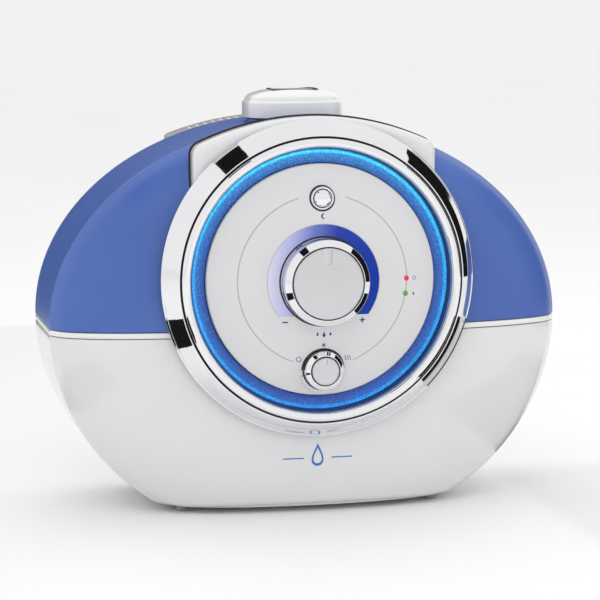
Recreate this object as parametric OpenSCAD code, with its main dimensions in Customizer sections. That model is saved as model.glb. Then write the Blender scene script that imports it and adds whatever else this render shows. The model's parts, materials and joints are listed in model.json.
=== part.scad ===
// Warm and cool mist humidifier with a lift-off tank and a round control pod.
// Frame: X across, -Y towards the user, +Z up, origin under the middle on the floor.

/* [Housing] */
// Half of the overall width of the housing
half_w = 185; // [175:1:195]
// Height of the seam between base and tank
seam_z = 134.5; // [130:0.5:138]
// Rise of the tank's elliptical outline above the seam
tank_h = 143.5; // [138:0.5:150]
// Depth of the base's elliptical outline below the seam
low_h = 160; // [155:1:165]
// Depth of the flat side band between front and rear edge lines
band_d = 96; // [92:1:104]
// How far the front bulges beyond its edge line
bulge_front = 39; // [36:0.5:39]
// How far the rear bulges beyond its edge line
bulge_rear = 30; // [28:0.5:34]
// Wall thickness of the moulded shells
wall = 2.8; // [2:0.2:3]
// Height of the feet
foot_h = 4; // [3:0.5:4]

/* [Control pod] */
// Height of the pod's centre
pod_z = 170; // [168:0.5:172]
// Distance of the knob's face in front of the front edge line
knob_reach = 78.3; // [77:0.1:79]
// Outer radius of the chrome skirt
bezel_r = 112; // [110:0.5:112]
// Outer radius of the light ring
ring_r = 92.4; // [91:0.1:92.4]
// Radius of the white faceplate
face_r = 81.5; // [80:0.5:81.5]
// Base radius of the humidity knob
knob_r = 30.5; // [28:0.5:31]
// Base radius of the mode knob
mode_r = 14.1; // [13:0.1:14.2]
// Height of the mode knob's axis
mode_z = 107.3; // [106:0.1:109]
// Height of the night lamp button's axis
lamp_z = 227.7; // [226:0.1:229]

/* [Tower] */
// Half width of the control tower
tower_w = 86.8; // [85:0.1:87]
// Height of the tower's top
tower_top = 283.2; // [281:0.1:284]
// Radius of the tower's arched top
tower_arc = 196; // [185:1:205]

/* [Water path] */
// Radius of the mist duct, outside
duct_r = 23.5; // [22:0.1:23.5]
// Distance of the filler neck from the middle
valve_x = 85; // [80:1:90]
// Height of the basin's floor
basin_z = 88; // [86:0.5:90]
// Rise of the float
float_travel = 10; // [6:0.5:11]

/* [Hidden] */

$fn = 96;
seg = 72;              // sides of the housing's elliptical outline
rings = 6;             // steps of each domed side
far = 400;             // longer than the object in any direction
eps = 0.01;
front_y = (knob_reach - band_d - bulge_rear) / 2;
rear_y = front_y + band_d;
rim_h = 4.5;           // height of the basin's visible rim
seam_gap = 0.3;        // gap between the rim and the tank
rim_top = seam_z - seam_gap;
rim_z = rim_top - rim_h;
tank_z = seam_z + seam_gap;
tower_front = 38.5;    // tower's front, ahead of the front edge line
tower_rear = 22.5;     // tower's back, ahead of the front edge line
tower_z = 104;         // tower's lower end, inside the base
tower_corner = 9;      // radius of the tower's top corners
notch_w = tower_w + 1.2;
notch_h = tower_rear - 2.5;
duct_y = front_y + 46;
duct_in = duct_r - 2;
boss_r = 33;           // flat seat on the tank under the nozzle
boss_z = seam_z + tank_h + 0.3;
pocket_w = 72;         // half width of the finger recess behind the tank
pocket_z = 232;        // floor of the finger recess
pocket_y = rear_y + 4; // front wall of the finger recess
face_h = 62.5;         // faceplate's crown, ahead of the front edge line
face_rise = 11.5;      // crown above the faceplate's rim
face_t = 2.5;
dome_r = (face_r * face_r + face_rise * face_rise) / (2 * face_rise);
tray_w = 148;          // half width of the basin's tray
tray_y0 = front_y + 2;
tray_y1 = rear_y + 8;
tray_t = 2.5;
tray_floor = 3;
tray_corner = 18;
post_spots = [for (x = [-88, 88]) for (y = [front_y + 20, rear_y - 20]) [x, y, 0]];
foot_spots = [for (x = [-92.3, 92.3]) for (y = [front_y + 1.3, rear_y - 1.3]) [x, y, 0]];
post_hole = 1.4;
air_x = -48;           // air riser and fan
air_in = 11.6;         // radius of the air riser's bore
air_top = basin_z + 33;
well_r = 14;           // hole in the tray for the transducer
float_x = -95;
float_post_r = 3;
float_h = 14;          // height of the float
float_z = basin_z + 1; // float's underside with the basin empty
float_top = float_z + float_h + float_travel + 6;
cap_r = 34.5;
cap_z = 106;
cap_wall_h = 19;
neck_r = 30.8;
post_top = cap_z - 2.4;
plunger_z = post_top + 0.3;
spring_r = 6;
spring_wire = 0.6;
spring_turns = 5;
spring_z0 = cap_z + 9.9;
spring_z1 = cap_z + 20.3;
spring_steps = 24 * spring_turns;
spring_sides = 8;
mode_shaft_r = 2.5;
pot_shaft_r = 3;
run = 0.05;            // running clearance of the small shafts
knob_back = 74;        // rear of the humidity knob's face
pointer_w = 4.4;       // slot in the humidity knob's face
pointer_in = 15.7;
well_h = 52;           // floor of the mode knob's well
lamp_r = 6.2;          // radius of the night lamp's push button
screw_ring = 50;       // pitch radius of the pod's screws
fan_z = 16;
fan_h = 15;
fan_hub_r = 12;
fan_shaft_r = 1.5;
inlet_x = 96;
inlet_z = 34;
inlet_r = 5.9;         // outside of the cord gland
inlet_wall = rear_y + bulge_rear
    * dome(norm([inlet_x / half_w, (seam_z - inlet_z) / low_h]));
handle_w = 82;
handle_t = 3.5;
handle_lip = 20;
nozzle_w = 35.2;       // half width and half depth of the nozzle
nozzle_d = 29;
nozzle_z = boss_z + 0.9;
nozzle_wall_z = seam_z + tank_h + 13;
nozzle_top = seam_z + tank_h + 22.8;
nozzle_t = 2.4;
outlet_r = 16.6;       // mist outlet: half a circle behind, squared off in front
outlet_back = 4.4;
outlet_front = 12.3;

// ---- shapes shared by several parts ----

// Share of the bulge at a point rho of the way from the middle to the edge line
function dome(rho) = pow(1 - pow(rho, 4), 0.6);

// One ring of the housing's outline, shrunk by rho, at depth y
function ring_points(rho, inset, y) =
    [for (i = [0:seg - 1])
        let (t = 360 * i / seg, h = (t < 180 ? tank_h : low_h) - inset)
        [(half_w - inset) * rho * cos(t), y, seam_z + h * rho * sin(t)]];

// Radii of the rings, from the edge line towards the middle
function step_rho(k) = cos(90 * k / (rings + 1));

// Horizontal section through the housing at height z
function section(z, inset) =
    let (h = (z > seam_z ? tank_h : low_h) - inset, dz = abs(z - seam_z) / h,
         a = half_w - inset, reach = a * sqrt(1 - dz * dz))
    concat(
        [for (t = [0:5:180]) let (x = reach * cos(t), r = min(1, norm([x / a, dz])))
            [x, front_y + inset / 3 - (bulge_front - inset * 2 / 3) * dome(r)]],
        [for (t = [180:-5:0]) let (x = reach * cos(t), r = min(1, norm([x / a, dz])))
            [x, rear_y - inset / 3 + (bulge_rear - inset * 2 / 3) * dome(r)]]);

module slab(rho_a, y_a, rho_b, y_b, inset)
    hull() polyhedron(
        points = concat(ring_points(rho_a, inset, y_a), ring_points(rho_b, inset, y_b)),
        faces = [[for (i = [0:seg - 1]) i], [for (i = [0:seg - 1]) seg + i]]);

// The whole housing as a solid: a flat band with a dome on each side
module housing_solid(inset) {
    y_front = front_y + inset / 3;
    y_rear = rear_y - inset / 3;
    deep_front = bulge_front - inset * 2 / 3;
    deep_rear = bulge_rear - inset * 2 / 3;
    slab(1, y_front, 1, y_rear, inset);
    for (k = [0:rings - 1]) {
        a = step_rho(k);
        b = step_rho(k + 1);
        slab(a, y_front - deep_front * dome(a), b, y_front - deep_front * dome(b), inset);
        slab(a, y_rear + deep_rear * dome(a), b, y_rear + deep_rear * dome(b), inset);
    }
}

// The part of the housing between two heights
module housing_slice(inset, z0, z1)
    intersection() {
        housing_solid(inset);
        block(-far, far, -far, far, z0, z1);
    }

module block(x0, x1, y0, y1, z0, z1)
    translate([x0, y0, z0]) cube([x1 - x0, y1 - y0, z1 - z0]);

module tube(r_out, r_in, z0, z1)
    translate([0, 0, z0]) difference() {
        cylinder(r = r_out, h = z1 - z0);
        translate([0, 0, -1]) cylinder(r = r_in, h = z1 - z0 + 2);
    }

module rod(r, z0, z1) translate([0, 0, z0]) cylinder(r = r, h = z1 - z0);

// Places children on an axis that points at the user; local Z is the
// distance in front of the front edge line
module facing(x, z) translate([x, front_y, z]) rotate([90, 0, 0]) children();

module rounded_plate(w0, w1, d0, d1, r) {
    translate([w0 + r, d0]) square([w1 - w0 - 2 * r, d1 - d0]);
    translate([w0, d0 + r]) square([w1 - w0, d1 - d0 - 2 * r]);
    for (x = [w0 + r, w1 - r]) for (y = [d0 + r, d1 - r])
        translate([x, y]) circle(r = r);
}

// Screw along local Z, head at z = 0, shank pointing up
module screw(r, length, head_r, head_t) {
    difference() {
        rod(head_r, -head_t, 0);
        translate([-head_r, -0.4, -head_t - 1]) cube([2 * head_r, 0.8, 1.8]);
    }
    rod(r, -eps, length);
}

// ---- base ----

module tower_clearance(gap)
    block(-tower_w - gap, tower_w + gap, -far, front_y - tower_rear + gap,
          tower_z - gap, far);

module base_housing()
    color("whitesmoke")
    difference() {
        housing_slice(0, foot_h, rim_z - eps);
        housing_solid(wall);
        tower_clearance(0.5);
        translate([inlet_x, 0, inlet_z]) rotate([-90, 0, 0])
            cylinder(r = inlet_r + 0.3, h = far);
    }

// Plan of the tray, grown outwards
module tray_plan(grow)
    rounded_plate(-tray_w - grow, tray_w + grow, tray_y0 - grow, tray_y1 + grow,
                  tray_corner + grow);

// Visible rim and the deck around the tray
module basin_rim()
    color("white")
    difference() {
        translate([0, 0, rim_z]) {
            linear_extrude(rim_h) difference() {
                polygon(section(rim_top, 0));
                polygon(section(rim_top, 5));
            }
            linear_extrude(tray_t) difference() {
                polygon(section(rim_top, 4));
                tray_plan(0);
            }
        }
        tower_clearance(0.5);
    }

module basin()
    color("white")
    difference() {
        union() {
            translate([0, 0, basin_z]) linear_extrude(rim_z - 0.1 - basin_z) difference() {
                tray_plan(tray_t);
                tray_plan(0);
            }
            translate([0, 0, basin_z - tray_floor]) linear_extrude(tray_floor) tray_plan(tray_t);
        }
        translate([air_x, duct_y, 0]) rod(air_in, basin_z - 5, basin_z + 1);
        translate([0, duct_y, 0]) rod(well_r, basin_z - 5, basin_z + 1);
    }

// Posts that open the tank's valve and guide the float
module basin_posts()
    color("white") {
        translate([valve_x, duct_y, 0]) rod(3.5, basin_z, post_top);
        translate([float_x, duct_y, 0]) rod(float_post_r, basin_z, float_top);
    }

// Posts under the tray that take the bottom cover's screws
module screw_posts()
    color("white")
    for (spot = post_spots) translate(spot) tube(4.5, post_hole, foot_h + 3.2,
                                                 basin_z - tray_floor);

module air_riser()
    color("white")
    translate([air_x, duct_y, 0]) tube(14, air_in, basin_z, air_top);

module bottom_cover()
    color("gainsboro")
    difference() {
        union() {
            translate([0, 0, foot_h + 0.2]) linear_extrude(2.6)
                polygon(section(foot_h + 0.2, wall + 1.2));
            for (spot = foot_spots) translate(spot) rod(5, foot_h + 0.2, foot_h + 6);
        }
        // air intake under the fan
        for (i = [-5:5])
            block(air_x - 24, air_x + 24, duct_y + 5 * i - 1.25, duct_y + 5 * i + 1.25,
                  0, foot_h + 4);
        for (spot = post_spots) translate(spot) rod(1.8, 0, foot_h + 10);
        for (spot = foot_spots) translate(spot) rod(2.5, 0, foot_h + 4.5);
    }

module feet()
    color("dimgray")
    for (spot = foot_spots) translate(spot) {
        rod(2.4, foot_h - eps, foot_h + 4.3);
        rotate_extrude() polygon([[0, 0], [3.4, 0], [4, 0.6], [4, foot_h], [0, foot_h]]);
    }

module cover_screws()
    color("silver")
    for (spot = post_spots) translate([spot[0], spot[1], foot_h]) screw(1.35, 14, 3, 1.4);

// ---- control tower ----

// The tower's outline seen from the front, as [x, z], drawn in by an inset
function tower_outline(inset) =
    let (w = tower_w - inset, r = tower_corner - inset, cz = tower_top - tower_arc,
         cx = tower_w - tower_corner,
         rise = sqrt(pow(tower_arc - tower_corner, 2) - cx * cx),
         turn = atan2(rise, cx))
    concat([[-w, tower_z], [w, tower_z]],
        [for (i = [0:6]) let (t = turn * i / 6) [cx + r * cos(t), cz + rise + r * sin(t)]],
        [for (i = [1:19]) let (t = turn + (180 - 2 * turn) * i / 20)
            [(tower_arc - inset) * cos(t), cz + (tower_arc - inset) * sin(t)]],
        [for (i = [0:6]) let (t = 180 - turn + turn * i / 6)
            [-cx + r * cos(t), cz + rise + r * sin(t)]]);

module tower_slice(inset, h0, h1)
    facing(0, 0) translate([0, 0, h0]) linear_extrude(h1 - h0) polygon(tower_outline(inset));

module control_tower()
    color("white")
    difference() {
        hull() {
            tower_slice(0, tower_rear, tower_front - 5);
            tower_slice(1.4, tower_front - 2, tower_front - 1.8);
            tower_slice(5, tower_front - 0.2, tower_front);
        }
        tower_slice(2.6, tower_rear - 1, tower_front - 2.6);
        facing(0, pod_z) rod(26, tower_rear, tower_front + 1);
        for (a = [0, 120, 240]) facing(0, pod_z) rotate([0, 0, a + 90])
            translate([screw_ring, 0, 0]) rod(1.7, tower_rear, tower_front + 1);
    }

module tower_back()
    color("white")
    difference() {
        union() {
            tower_slice(2.8, tower_rear, tower_rear + 2);
            for (x = [-60, 60]) facing(x, 215) rod(4, tower_rear + 2 - eps, tower_front - 2.7);
        }
        facing(0, 0) translate([-30, tower_z + 6, tower_rear - 1]) cube([60, 14, 4]);
    }

// ---- control pod ----

// Front of the faceplate at distance r from the pod's centre
function face_at(r) = face_h - dome_r + sqrt(dome_r * dome_r - r * r);

module pod_frame()
    color("gainsboro")
    facing(0, pod_z) difference() {
        union() {
            rod(ring_r - 0.1, 39.4, 41.4);
            tube(78.8, 76.8, 41.4 - eps, face_at(78.8) - face_t - 0.5);
            for (a = [45:90:315]) rotate([0, 0, a]) translate([66, 0, 0]) rod(3.5, 41.4 - eps, 44);
            for (a = [0, 120, 240]) rotate([0, 0, a + 90]) translate([screw_ring, 0, 0])
                rod(4, 41.4 - eps, 43.6);
        }
        rod(20, 39, 42);
        for (a = [0, 120, 240]) rotate([0, 0, a + 90]) translate([screw_ring, 0, 0])
            rod(1.3, 39, 44);
    }

module pod_screws()
    color("silver")
    for (a = [0, 120, 240]) facing(0, pod_z) rotate([0, 0, a + 90])
        translate([screw_ring, 0, tower_front - 2.7]) screw(1.2, 8, 2.8, 1.4);

module control_board()
    color("darkgreen")
    facing(0, pod_z) difference() {
        rod(72, 44.1, 45.6);
        translate([-80, -12, 44]) cube([16, 24, 2]);
        rod(6, 44, 46);
    }

module led_board()
    color("darkgreen")
    facing(0, pod_z) {
        tube(91.5, 79.8, 41.6, 42.8);
        for (a = [0:15:345]) rotate([0, 0, a])
            translate([84.5, -1.5, 42.8 - eps]) cube([3.5, 3, 1]);
    }

module light_ring()
    color([0.1, 0.5, 0.9])
    facing(0, pod_z) rotate_extrude($fn = 144)
        polygon([[face_r + 0.5, 44.4], [ring_r, 44.4], [ring_r, 48.6], [ring_r - 0.8, 49.4],
                 [face_r + 1.2, 49.4], [face_r + 0.5, 48.8]]);

// Rounded chrome ring around the light ring
module bezel_bead()
    color("silver")
    facing(0, pod_z) rotate_extrude($fn = 144)
        polygon([[ring_r + 0.3, 40.3], [ring_r + 0.3, 57.6], [94, 59.4], [96.5, 59.9],
                 [98.8, 59.1], [99.6, 57.2], [98.4, 55], [95.2, 55], [95.2, 40.3]]);

// Sloping chrome skirt outside the bead
module chrome_bezel()
    color("silver")
    facing(0, pod_z) rotate_extrude($fn = 144)
        polygon([[100.4, 55.2], [100.4, 57.4], [101.2, 57.3], [105.8, 52.3], [bezel_r - 1.2, 45.2],
                 [bezel_r, 43.2], [bezel_r - 0.2, 40.5], [bezel_r - 2.4, 40.5],
                 [bezel_r - 3, 43]]);

module faceplate()
    color("white")
    facing(0, pod_z) difference() {
        union() {
            intersection() {
                translate([0, 0, face_h - dome_r]) difference() {
                    rotate_extrude() half_disc(dome_r);
                    rotate_extrude() half_disc(dome_r - face_t);
                }
                rod(face_r, 40, face_h + 1);
            }
            intersection() {
                translate([0, mode_z - pod_z, 0]) rod(16.6, 50, face_h);
                translate([0, 0, face_h - dome_r]) rotate_extrude() half_disc(dome_r - 0.2);
            }
        }
        rod(4.4, 50, 70);
        translate([0, mode_z - pod_z, 0]) {
            rod(mode_r + 0.5, well_h, 70);
            rod(3.6, 40, 70);
        }
        translate([0, lamp_z - pod_z, 0]) rod(8.3, 40, 70);
        translate([60, 0, 0]) rod(2.1, 40, 70);
        translate([59.3, -10.7, 0]) rod(2.1, 40, 70);
    }

module half_disc(r)
    intersection() {
        circle(r = r, $fn = 180);
        translate([0, -r]) square([r, 2 * r]);
    }

module humidity_pot()
    color("dimgray")
    facing(0, pod_z) difference() {
        union() {
            rod(10, 45.8, 54);
            rod(5, 54 - eps, 58);
        }
        rod(pot_shaft_r + run, 48, 60);
    }

module humidity_shaft() color("silver") facing(0, pod_z) rod(pot_shaft_r, 48.6, knob_back);

module humidity_knob()
    color("lightgray")
    facing(0, pod_z) difference() {
        union() {
            rotate_extrude() polygon([[0, knob_back], [25, knob_back], [25, 76.8],
                                      [24, knob_reach - 0.4], [22.5, knob_reach],
                                      [0, knob_reach]]);
            tube(7, pot_shaft_r, 63.2, knob_back + eps);
        }
        translate([-pointer_w / 2, pointer_in, knob_reach - 0.7]) cube([pointer_w, 12, 2]);
        translate([0, pointer_in, 0]) rod(pointer_w / 2, knob_reach - 0.7, knob_reach + 1);
    }

module humidity_knob_ring()
    color("silver")
    facing(0, pod_z) rotate_extrude()
        polygon([[knob_r - 2, 61.6], [knob_r, 61.6], [knob_r - 0.3, 71.2], [26.6, 76.2],
                 [25.9, 76.9], [25.05, 76.4], [25.05, 73.9], [7.05, 73.9], [7.05, 71.9],
                 [25.2, 71.9]]);

module mode_switch()
    color("dimgray")
    facing(0, mode_z) difference() {
        union() {
            translate([-8, -8, 45.8]) cube([16, 16, 3.4]);
            rod(3.3, 49.2 - eps, 52.6);
        }
        rod(mode_shaft_r + run, 47.4, 53);
    }

module mode_shaft() color("silver") facing(0, mode_z) rod(mode_shaft_r, 47.9, 64);

module mode_knob()
    color("lightgray")
    facing(0, mode_z) difference() {
        union() {
            rotate_extrude() polygon([[0, 64], [9.9, 64], [9.9, 66.2], [9, 67], [0, 67]]);
            tube(4.5, mode_shaft_r, 53.6, 64 + eps);
        }
        translate([-1, 5, 66.4]) cube([2, 6, 2]);
    }

module mode_knob_ring()
    color("silver")
    facing(0, mode_z) rotate_extrude()
        polygon([[mode_r - 1.6, 52.4], [mode_r, 52.4], [mode_r - 0.3, 61.2], [11.6, 65.2],
                 [10.9, 66], [9.95, 65.8], [9.95, 63.9], [4.55, 63.9], [4.55, 62.3],
                 [10.6, 62.3], [mode_r - 1.6, 57.6]]);

module lamp_switch()
    color("black")
    facing(0, lamp_z) {
        translate([-3.5, -3.5, 45.8]) cube([7, 7, 4]);
        rod(1.6, 49.8 - eps, 50.8);
    }

module lamp_button_ring()
    color("silver")
    facing(0, lamp_z) rotate_extrude()
        polygon([[6.6, 50.5], [8.2, 50.5], [8.2, 58.2], [7.6, 58.9], [6.9, 58.8], [6.6, 58.2]]);

module lamp_button()
    color("lightgray")
    facing(0, lamp_z) {
        rotate_extrude() polygon([[0, 55.4], [lamp_r, 55.4], [lamp_r, 59.2], [5, 60.2],
                                  [2.6, 60.8], [0, 61]]);
        rod(1.5, 52.6, 55.4 + eps);
    }

module indicator(x, z)
    facing(x, z) rotate_extrude()
        polygon([[0, 51], [2, 51], [2, 56.2], [1.4, 56.8], [0, 57.1]]);

module power_indicator() color("red") indicator(60, pod_z);
module no_water_indicator() color("green") indicator(59.3, pod_z - 10.7);

// ---- inside the base ----

module fan_frame()
    color("black")
    translate([air_x, duct_y, fan_z]) difference() {
        union() {
            difference() {
                linear_extrude(fan_h) rounded_plate(-30, 30, -30, 30, 4);
                rod(28.6, -1, fan_h + 1);
            }
            for (a = [45:90:315]) rotate([0, 0, a]) block(9, 29, -1.5, 1.5, 0, 2);
            rod(11, 0, 2);
        }
        for (x = [-25, 25]) for (y = [-25, 25]) translate([x, y, 0]) rod(2, -1, fan_h + 1);
    }

module fan_motor()
    color("dimgray")
    translate([air_x, duct_y, fan_z]) difference() {
        rod(9, 2.05, 8.6);
        rod(fan_shaft_r + run, 3, 9);
    }

module fan_shaft()
    color("silver")
    translate([air_x, duct_y, fan_z]) rod(fan_shaft_r, 3.3, 11.2);

module fan_impeller()
    color("darkslategray")
    translate([air_x, duct_y, fan_z]) {
        difference() {
            rod(fan_hub_r, 2.5, 13);
            rod(fan_hub_r - 1.6, 2, 11.2);
            rod(fan_shaft_r, 10, 12);
        }
        for (a = [0:40:320]) rotate([0, 0, a]) translate([19.4, 0, 7.8]) rotate([38, 0, 0])
            cube([16, 11, 1.3], center = true);
    }

module air_duct()
    color("gainsboro")
    translate([air_x, duct_y, 0]) rotate_extrude()
        polygon([[27, fan_z + fan_h + 0.2], [29.4, fan_z + fan_h + 0.2],
                 [29.4, fan_z + fan_h + 4], [13.4, fan_z + fan_h + 22], [13.4, basin_z - 3.1],
                 [air_in - 0.2, basin_z - 3.1], [air_in - 0.2, fan_z + fan_h + 21.4],
                 [27, fan_z + fan_h + 3.4]]);

module main_board()
    color("darkgreen")
    difference() {
        union() {
            block(4, 78, 10, 68, 18, 19.6);
            for (x = [12, 30]) translate([x, 60, 0]) rod(5, 19.6 - eps, 34);
            block(50, 72, 50, 64, 19.6 - eps, 28);
            block(8, 40, 14, 24, 19.6 - eps, 30);
            for (x = [8, 74]) for (y = [14, 64]) translate([x, y, 0]) rod(3, 6.9, 18 + eps);
        }
        translate([60, 16, 0]) rod(1.5, 17, 21);
    }

module heat_sink()
    color("silver") {
        block(46, 74, 26, 46, 19.7, 22);
        for (i = [0:6]) block(46 + 4.3 * i, 48.2 + 4.3 * i, 26, 46, 22 - eps, 40);
    }

module transformer() {
    color("dimgray") block(22, 72, -40, -6, 8, 40);
    color("chocolate") block(30, 64, -46, 0, 13, 35);
}

module power_inlet()
    color("black")
    translate([inlet_x, inlet_wall, inlet_z]) rotate([-90, 0, 0]) difference() {
        union() {
            rod(inlet_r, -9.6, 4);
            rod(8, 3.4, 6.4);
            rod(8, -9.6, -7.2);
        }
        rod(3.3, -11, 8);
    }

module transducer_gasket()
    color("black")
    translate([0, duct_y, 0]) tube(13.9, 10.4, basin_z - 4, basin_z - 0.4);

module transducer()
    color("gold")
    translate([0, duct_y, 0]) rod(13.2, basin_z - 5.6, basin_z - 4.1);

module transducer_clamp()
    color("silver")
    translate([0, duct_y, 0]) difference() {
        rod(22, basin_z - 12, basin_z - tray_floor - 0.1);
        rod(14.2, basin_z - 9, basin_z - 3);
        rod(6, basin_z - 13, basin_z);
    }

module heater_block()
    color("silver")
    translate([0, duct_y + 38, 0]) {
        rod(13, basin_z + 0.1, basin_z + 9);
        rod(9, basin_z + 9 - eps, basin_z + 12);
    }

module float_ring()
    color("orange")
    translate([float_x, duct_y, 0]) rotate_extrude()
        polygon([[float_post_r + 0.3, float_z], [11, float_z], [13, float_z + 2],
                 [13, float_z + float_h - 2], [11, float_z + float_h],
                 [float_post_r + 0.3, float_z + float_h]]);

module float_clip()
    color("white")
    translate([float_x, duct_y, 0]) difference() {
        rod(6.5, float_top - 3.4, float_top + 1);
        rod(float_post_r + run, float_top - 4, float_top + 0.05);
    }

// ---- tank ----

module notch(grow)
    block(-notch_w - grow, notch_w + grow, -far, front_y - notch_h + grow, 0, far);

module finger_pocket(grow)
    block(-pocket_w - grow, pocket_w + grow, pocket_y - grow, far, pocket_z - grow, far);

module tank_shell()
    color([0.25, 0.35, 0.75, 0.6])
    difference() {
        union() {
            housing_slice(0, tank_z, far);
            translate([0, duct_y, 0]) rod(boss_r, boss_z - 8, boss_z);
        }
        notch(0);
        finger_pocket(0);
        difference() {
            housing_solid(wall);
            notch(wall);
            finger_pocket(wall);
            translate([0, duct_y, 0]) rod(boss_r, boss_z - 8, boss_z);
        }
        translate([0, duct_y, 0]) rod(duct_r + 0.3, tank_z - 1, far);
    }

module tank_floor()
    color([0.25, 0.35, 0.75, 0.6])
    difference() {
        housing_slice(wall + 0.3, tank_z + 0.2, tank_z + 3.2);
        notch(wall + 0.3);
        translate([0, duct_y, 0]) rod(duct_r + 0.1, tank_z - 1, tank_z + 5);
        translate([valve_x, duct_y, 0]) rod(neck_r + 0.1, tank_z - 1, tank_z + 5);
    }

module mist_duct()
    color([0.35, 0.45, 0.85, 0.7])
    translate([0, duct_y, 0]) tube(duct_r, duct_in, basin_z + 32, boss_z - 0.4);

module filler_neck()
    color("white")
    translate([valve_x, duct_y, 0]) difference() {
        union() {
            rod(neck_r, cap_z + 5.4, tank_z + 5);
            rod(neck_r + 4, tank_z + 3.3, tank_z + 5.4);
        }
        rod(neck_r - 3, cap_z + 5, tank_z + 6);
    }

module tank_cap()
    color("royalblue")
    translate([valve_x, duct_y, 0]) difference() {
        union() {
            difference() {
                rod(cap_r, cap_z, cap_z + cap_wall_h);
                rod(neck_r + 0.4, cap_z + 3, cap_z + cap_wall_h + 1);
            }
            for (a = [0:15:345]) rotate([0, 0, a]) translate([cap_r, 0, 0])
                rod(1.1, cap_z + 1, cap_z + cap_wall_h - 1);
            rod(12.5, cap_z + 3 - eps, cap_z + 23);
        }
        rod(10.6, cap_z + 3, cap_z + 21);
        rod(6.5, cap_z - 1, cap_z + 4);
        rod(2.8, cap_z + 20, cap_z + 24);
        for (a = [0:60:120]) rotate([0, 0, a]) block(-20, 20, -3, 3, cap_z + 5, cap_z + 18);
    }

module cap_gasket()
    color("black")
    translate([valve_x, duct_y, 0]) tube(neck_r, neck_r - 4.5, cap_z + 3.1, cap_z + 5.2);

module valve_plunger()
    color("orangered")
    translate([valve_x, duct_y, 0]) {
        rod(2.4, plunger_z, cap_z + 27);
        rod(9.6, cap_z + 7.4, cap_z + 9.2);
    }

// Compression spring: a wire swept along a helix
function spring_point(i, j) =
    let (t = 360 * i / 24, s = 360 * j / spring_sides,
         r = spring_r + spring_wire * cos(s),
         z = spring_z0 + (spring_z1 - spring_z0) * i / spring_steps + spring_wire * sin(s))
    [r * cos(t), r * sin(t), z];

module valve_spring()
    color("silver")
    translate([valve_x, duct_y, 0]) polyhedron(
        points = [for (i = [0:spring_steps]) for (j = [0:spring_sides - 1]) spring_point(i, j)],
        faces = concat(
            [[for (j = [0:spring_sides - 1]) j]],
            [[for (j = [spring_sides - 1:-1:0]) spring_steps * spring_sides + j]],
            [for (i = [0:spring_steps - 1]) for (j = [0:spring_sides - 1])
                let (k = (j + 1) % spring_sides, a = i * spring_sides, b = a + spring_sides)
                [a + j, b + j, b + k, a + k]]));

// ---- handle and nozzle ----

// Strap that carries the tank's outline on behind its rear edge line
function strap_points(inset_out, inset_in, w) =
    concat(
        [for (i = [-12:12]) let (x = w * i / 12)
            [x, seam_z + (tank_h - inset_out) * sqrt(1 - pow(x / half_w, 2))]],
        [for (i = [12:-1:-12]) let (x = w * i / 12)
            [x, seam_z + (tank_h - inset_in) * sqrt(1 - pow(x / half_w, 2))]]);

module strap(inset_out, inset_in, y0, y1)
    translate([0, y1, 0]) rotate([90, 0, 0]) linear_extrude(y1 - y0)
        polygon(strap_points(inset_out, inset_in, handle_w));

module rear_handle()
    color("white")
    difference() {
        union() {
            strap(0, handle_t, rear_y + 0.3, rear_y + bulge_rear);
            strap(handle_t - eps, handle_lip, rear_y + bulge_rear - handle_t,
                  rear_y + bulge_rear);
            intersection() {
                strap(handle_t - eps, 24, rear_y + 0.3, rear_y + bulge_rear - handle_t + eps);
                for (s = [-1, 1]) block(s * handle_w - (s > 0 ? handle_t : 0),
                                        s * handle_w + (s < 0 ? handle_t : 0),
                                        rear_y, rear_y + bulge_rear, 200, far);
            }
        }
        housing_solid(-0.15);
    }

module nozzle_seat()
    color("white")
    translate([0, duct_y, 0]) difference() {
        union() {
            rod(duct_in - 0.6, boss_z - 18, boss_z + 1.6);
            rod(24, boss_z + 0.3, boss_z + 2.2);
        }
        rod(duct_in - 3.4, boss_z - 19, boss_z + 3);
    }

// Rounded-rectangle plan: an ellipse with fuller corners
function nozzle_plan(k, inset) =
    [for (t = [0:5:355]) let (c = cos(t), s = sin(t))
        [(nozzle_w * k - inset) * sign(c) * pow(abs(c), 0.6),
         (nozzle_d * k - inset) * sign(s) * pow(abs(s), 0.6)]];

module nozzle_layer(k, inset, z, t)
    translate([0, duct_y, z]) linear_extrude(t) polygon(nozzle_plan(k, inset));

module nozzle_body(inset)
    hull() {
        nozzle_layer(1, inset, nozzle_z, nozzle_wall_z - nozzle_z - 1.5);
        nozzle_layer(0.97, inset, nozzle_wall_z, 0.2);
        nozzle_layer(0.84, inset, nozzle_wall_z + 3.6 - inset, 0.2);
        nozzle_layer(0.55, inset, nozzle_top - 1.6 - inset, 0.2);
        nozzle_layer(0.3, inset, nozzle_top - 0.2 - inset, 0.2);
    }

module nozzle_outlet()
    translate([0, duct_y, nozzle_z + 4]) linear_extrude(30) {
        translate([0, outlet_back]) circle(r = outlet_r);
        translate([-outlet_r, -outlet_front])
            square([2 * outlet_r, outlet_front + outlet_back]);
    }

module mist_nozzle()
    color("white")
    difference() {
        union() {
            difference() {
                nozzle_body(0);
                translate([0, 0, -eps]) nozzle_body(nozzle_t);
                block(-40, 40, duct_y - 40, duct_y + 40, nozzle_z - 1, nozzle_z);
            }
            translate([0, duct_y, 0]) tube(26.2, 24.4, nozzle_z, nozzle_z + 13.2);
        }
        nozzle_outlet();
    }

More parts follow.
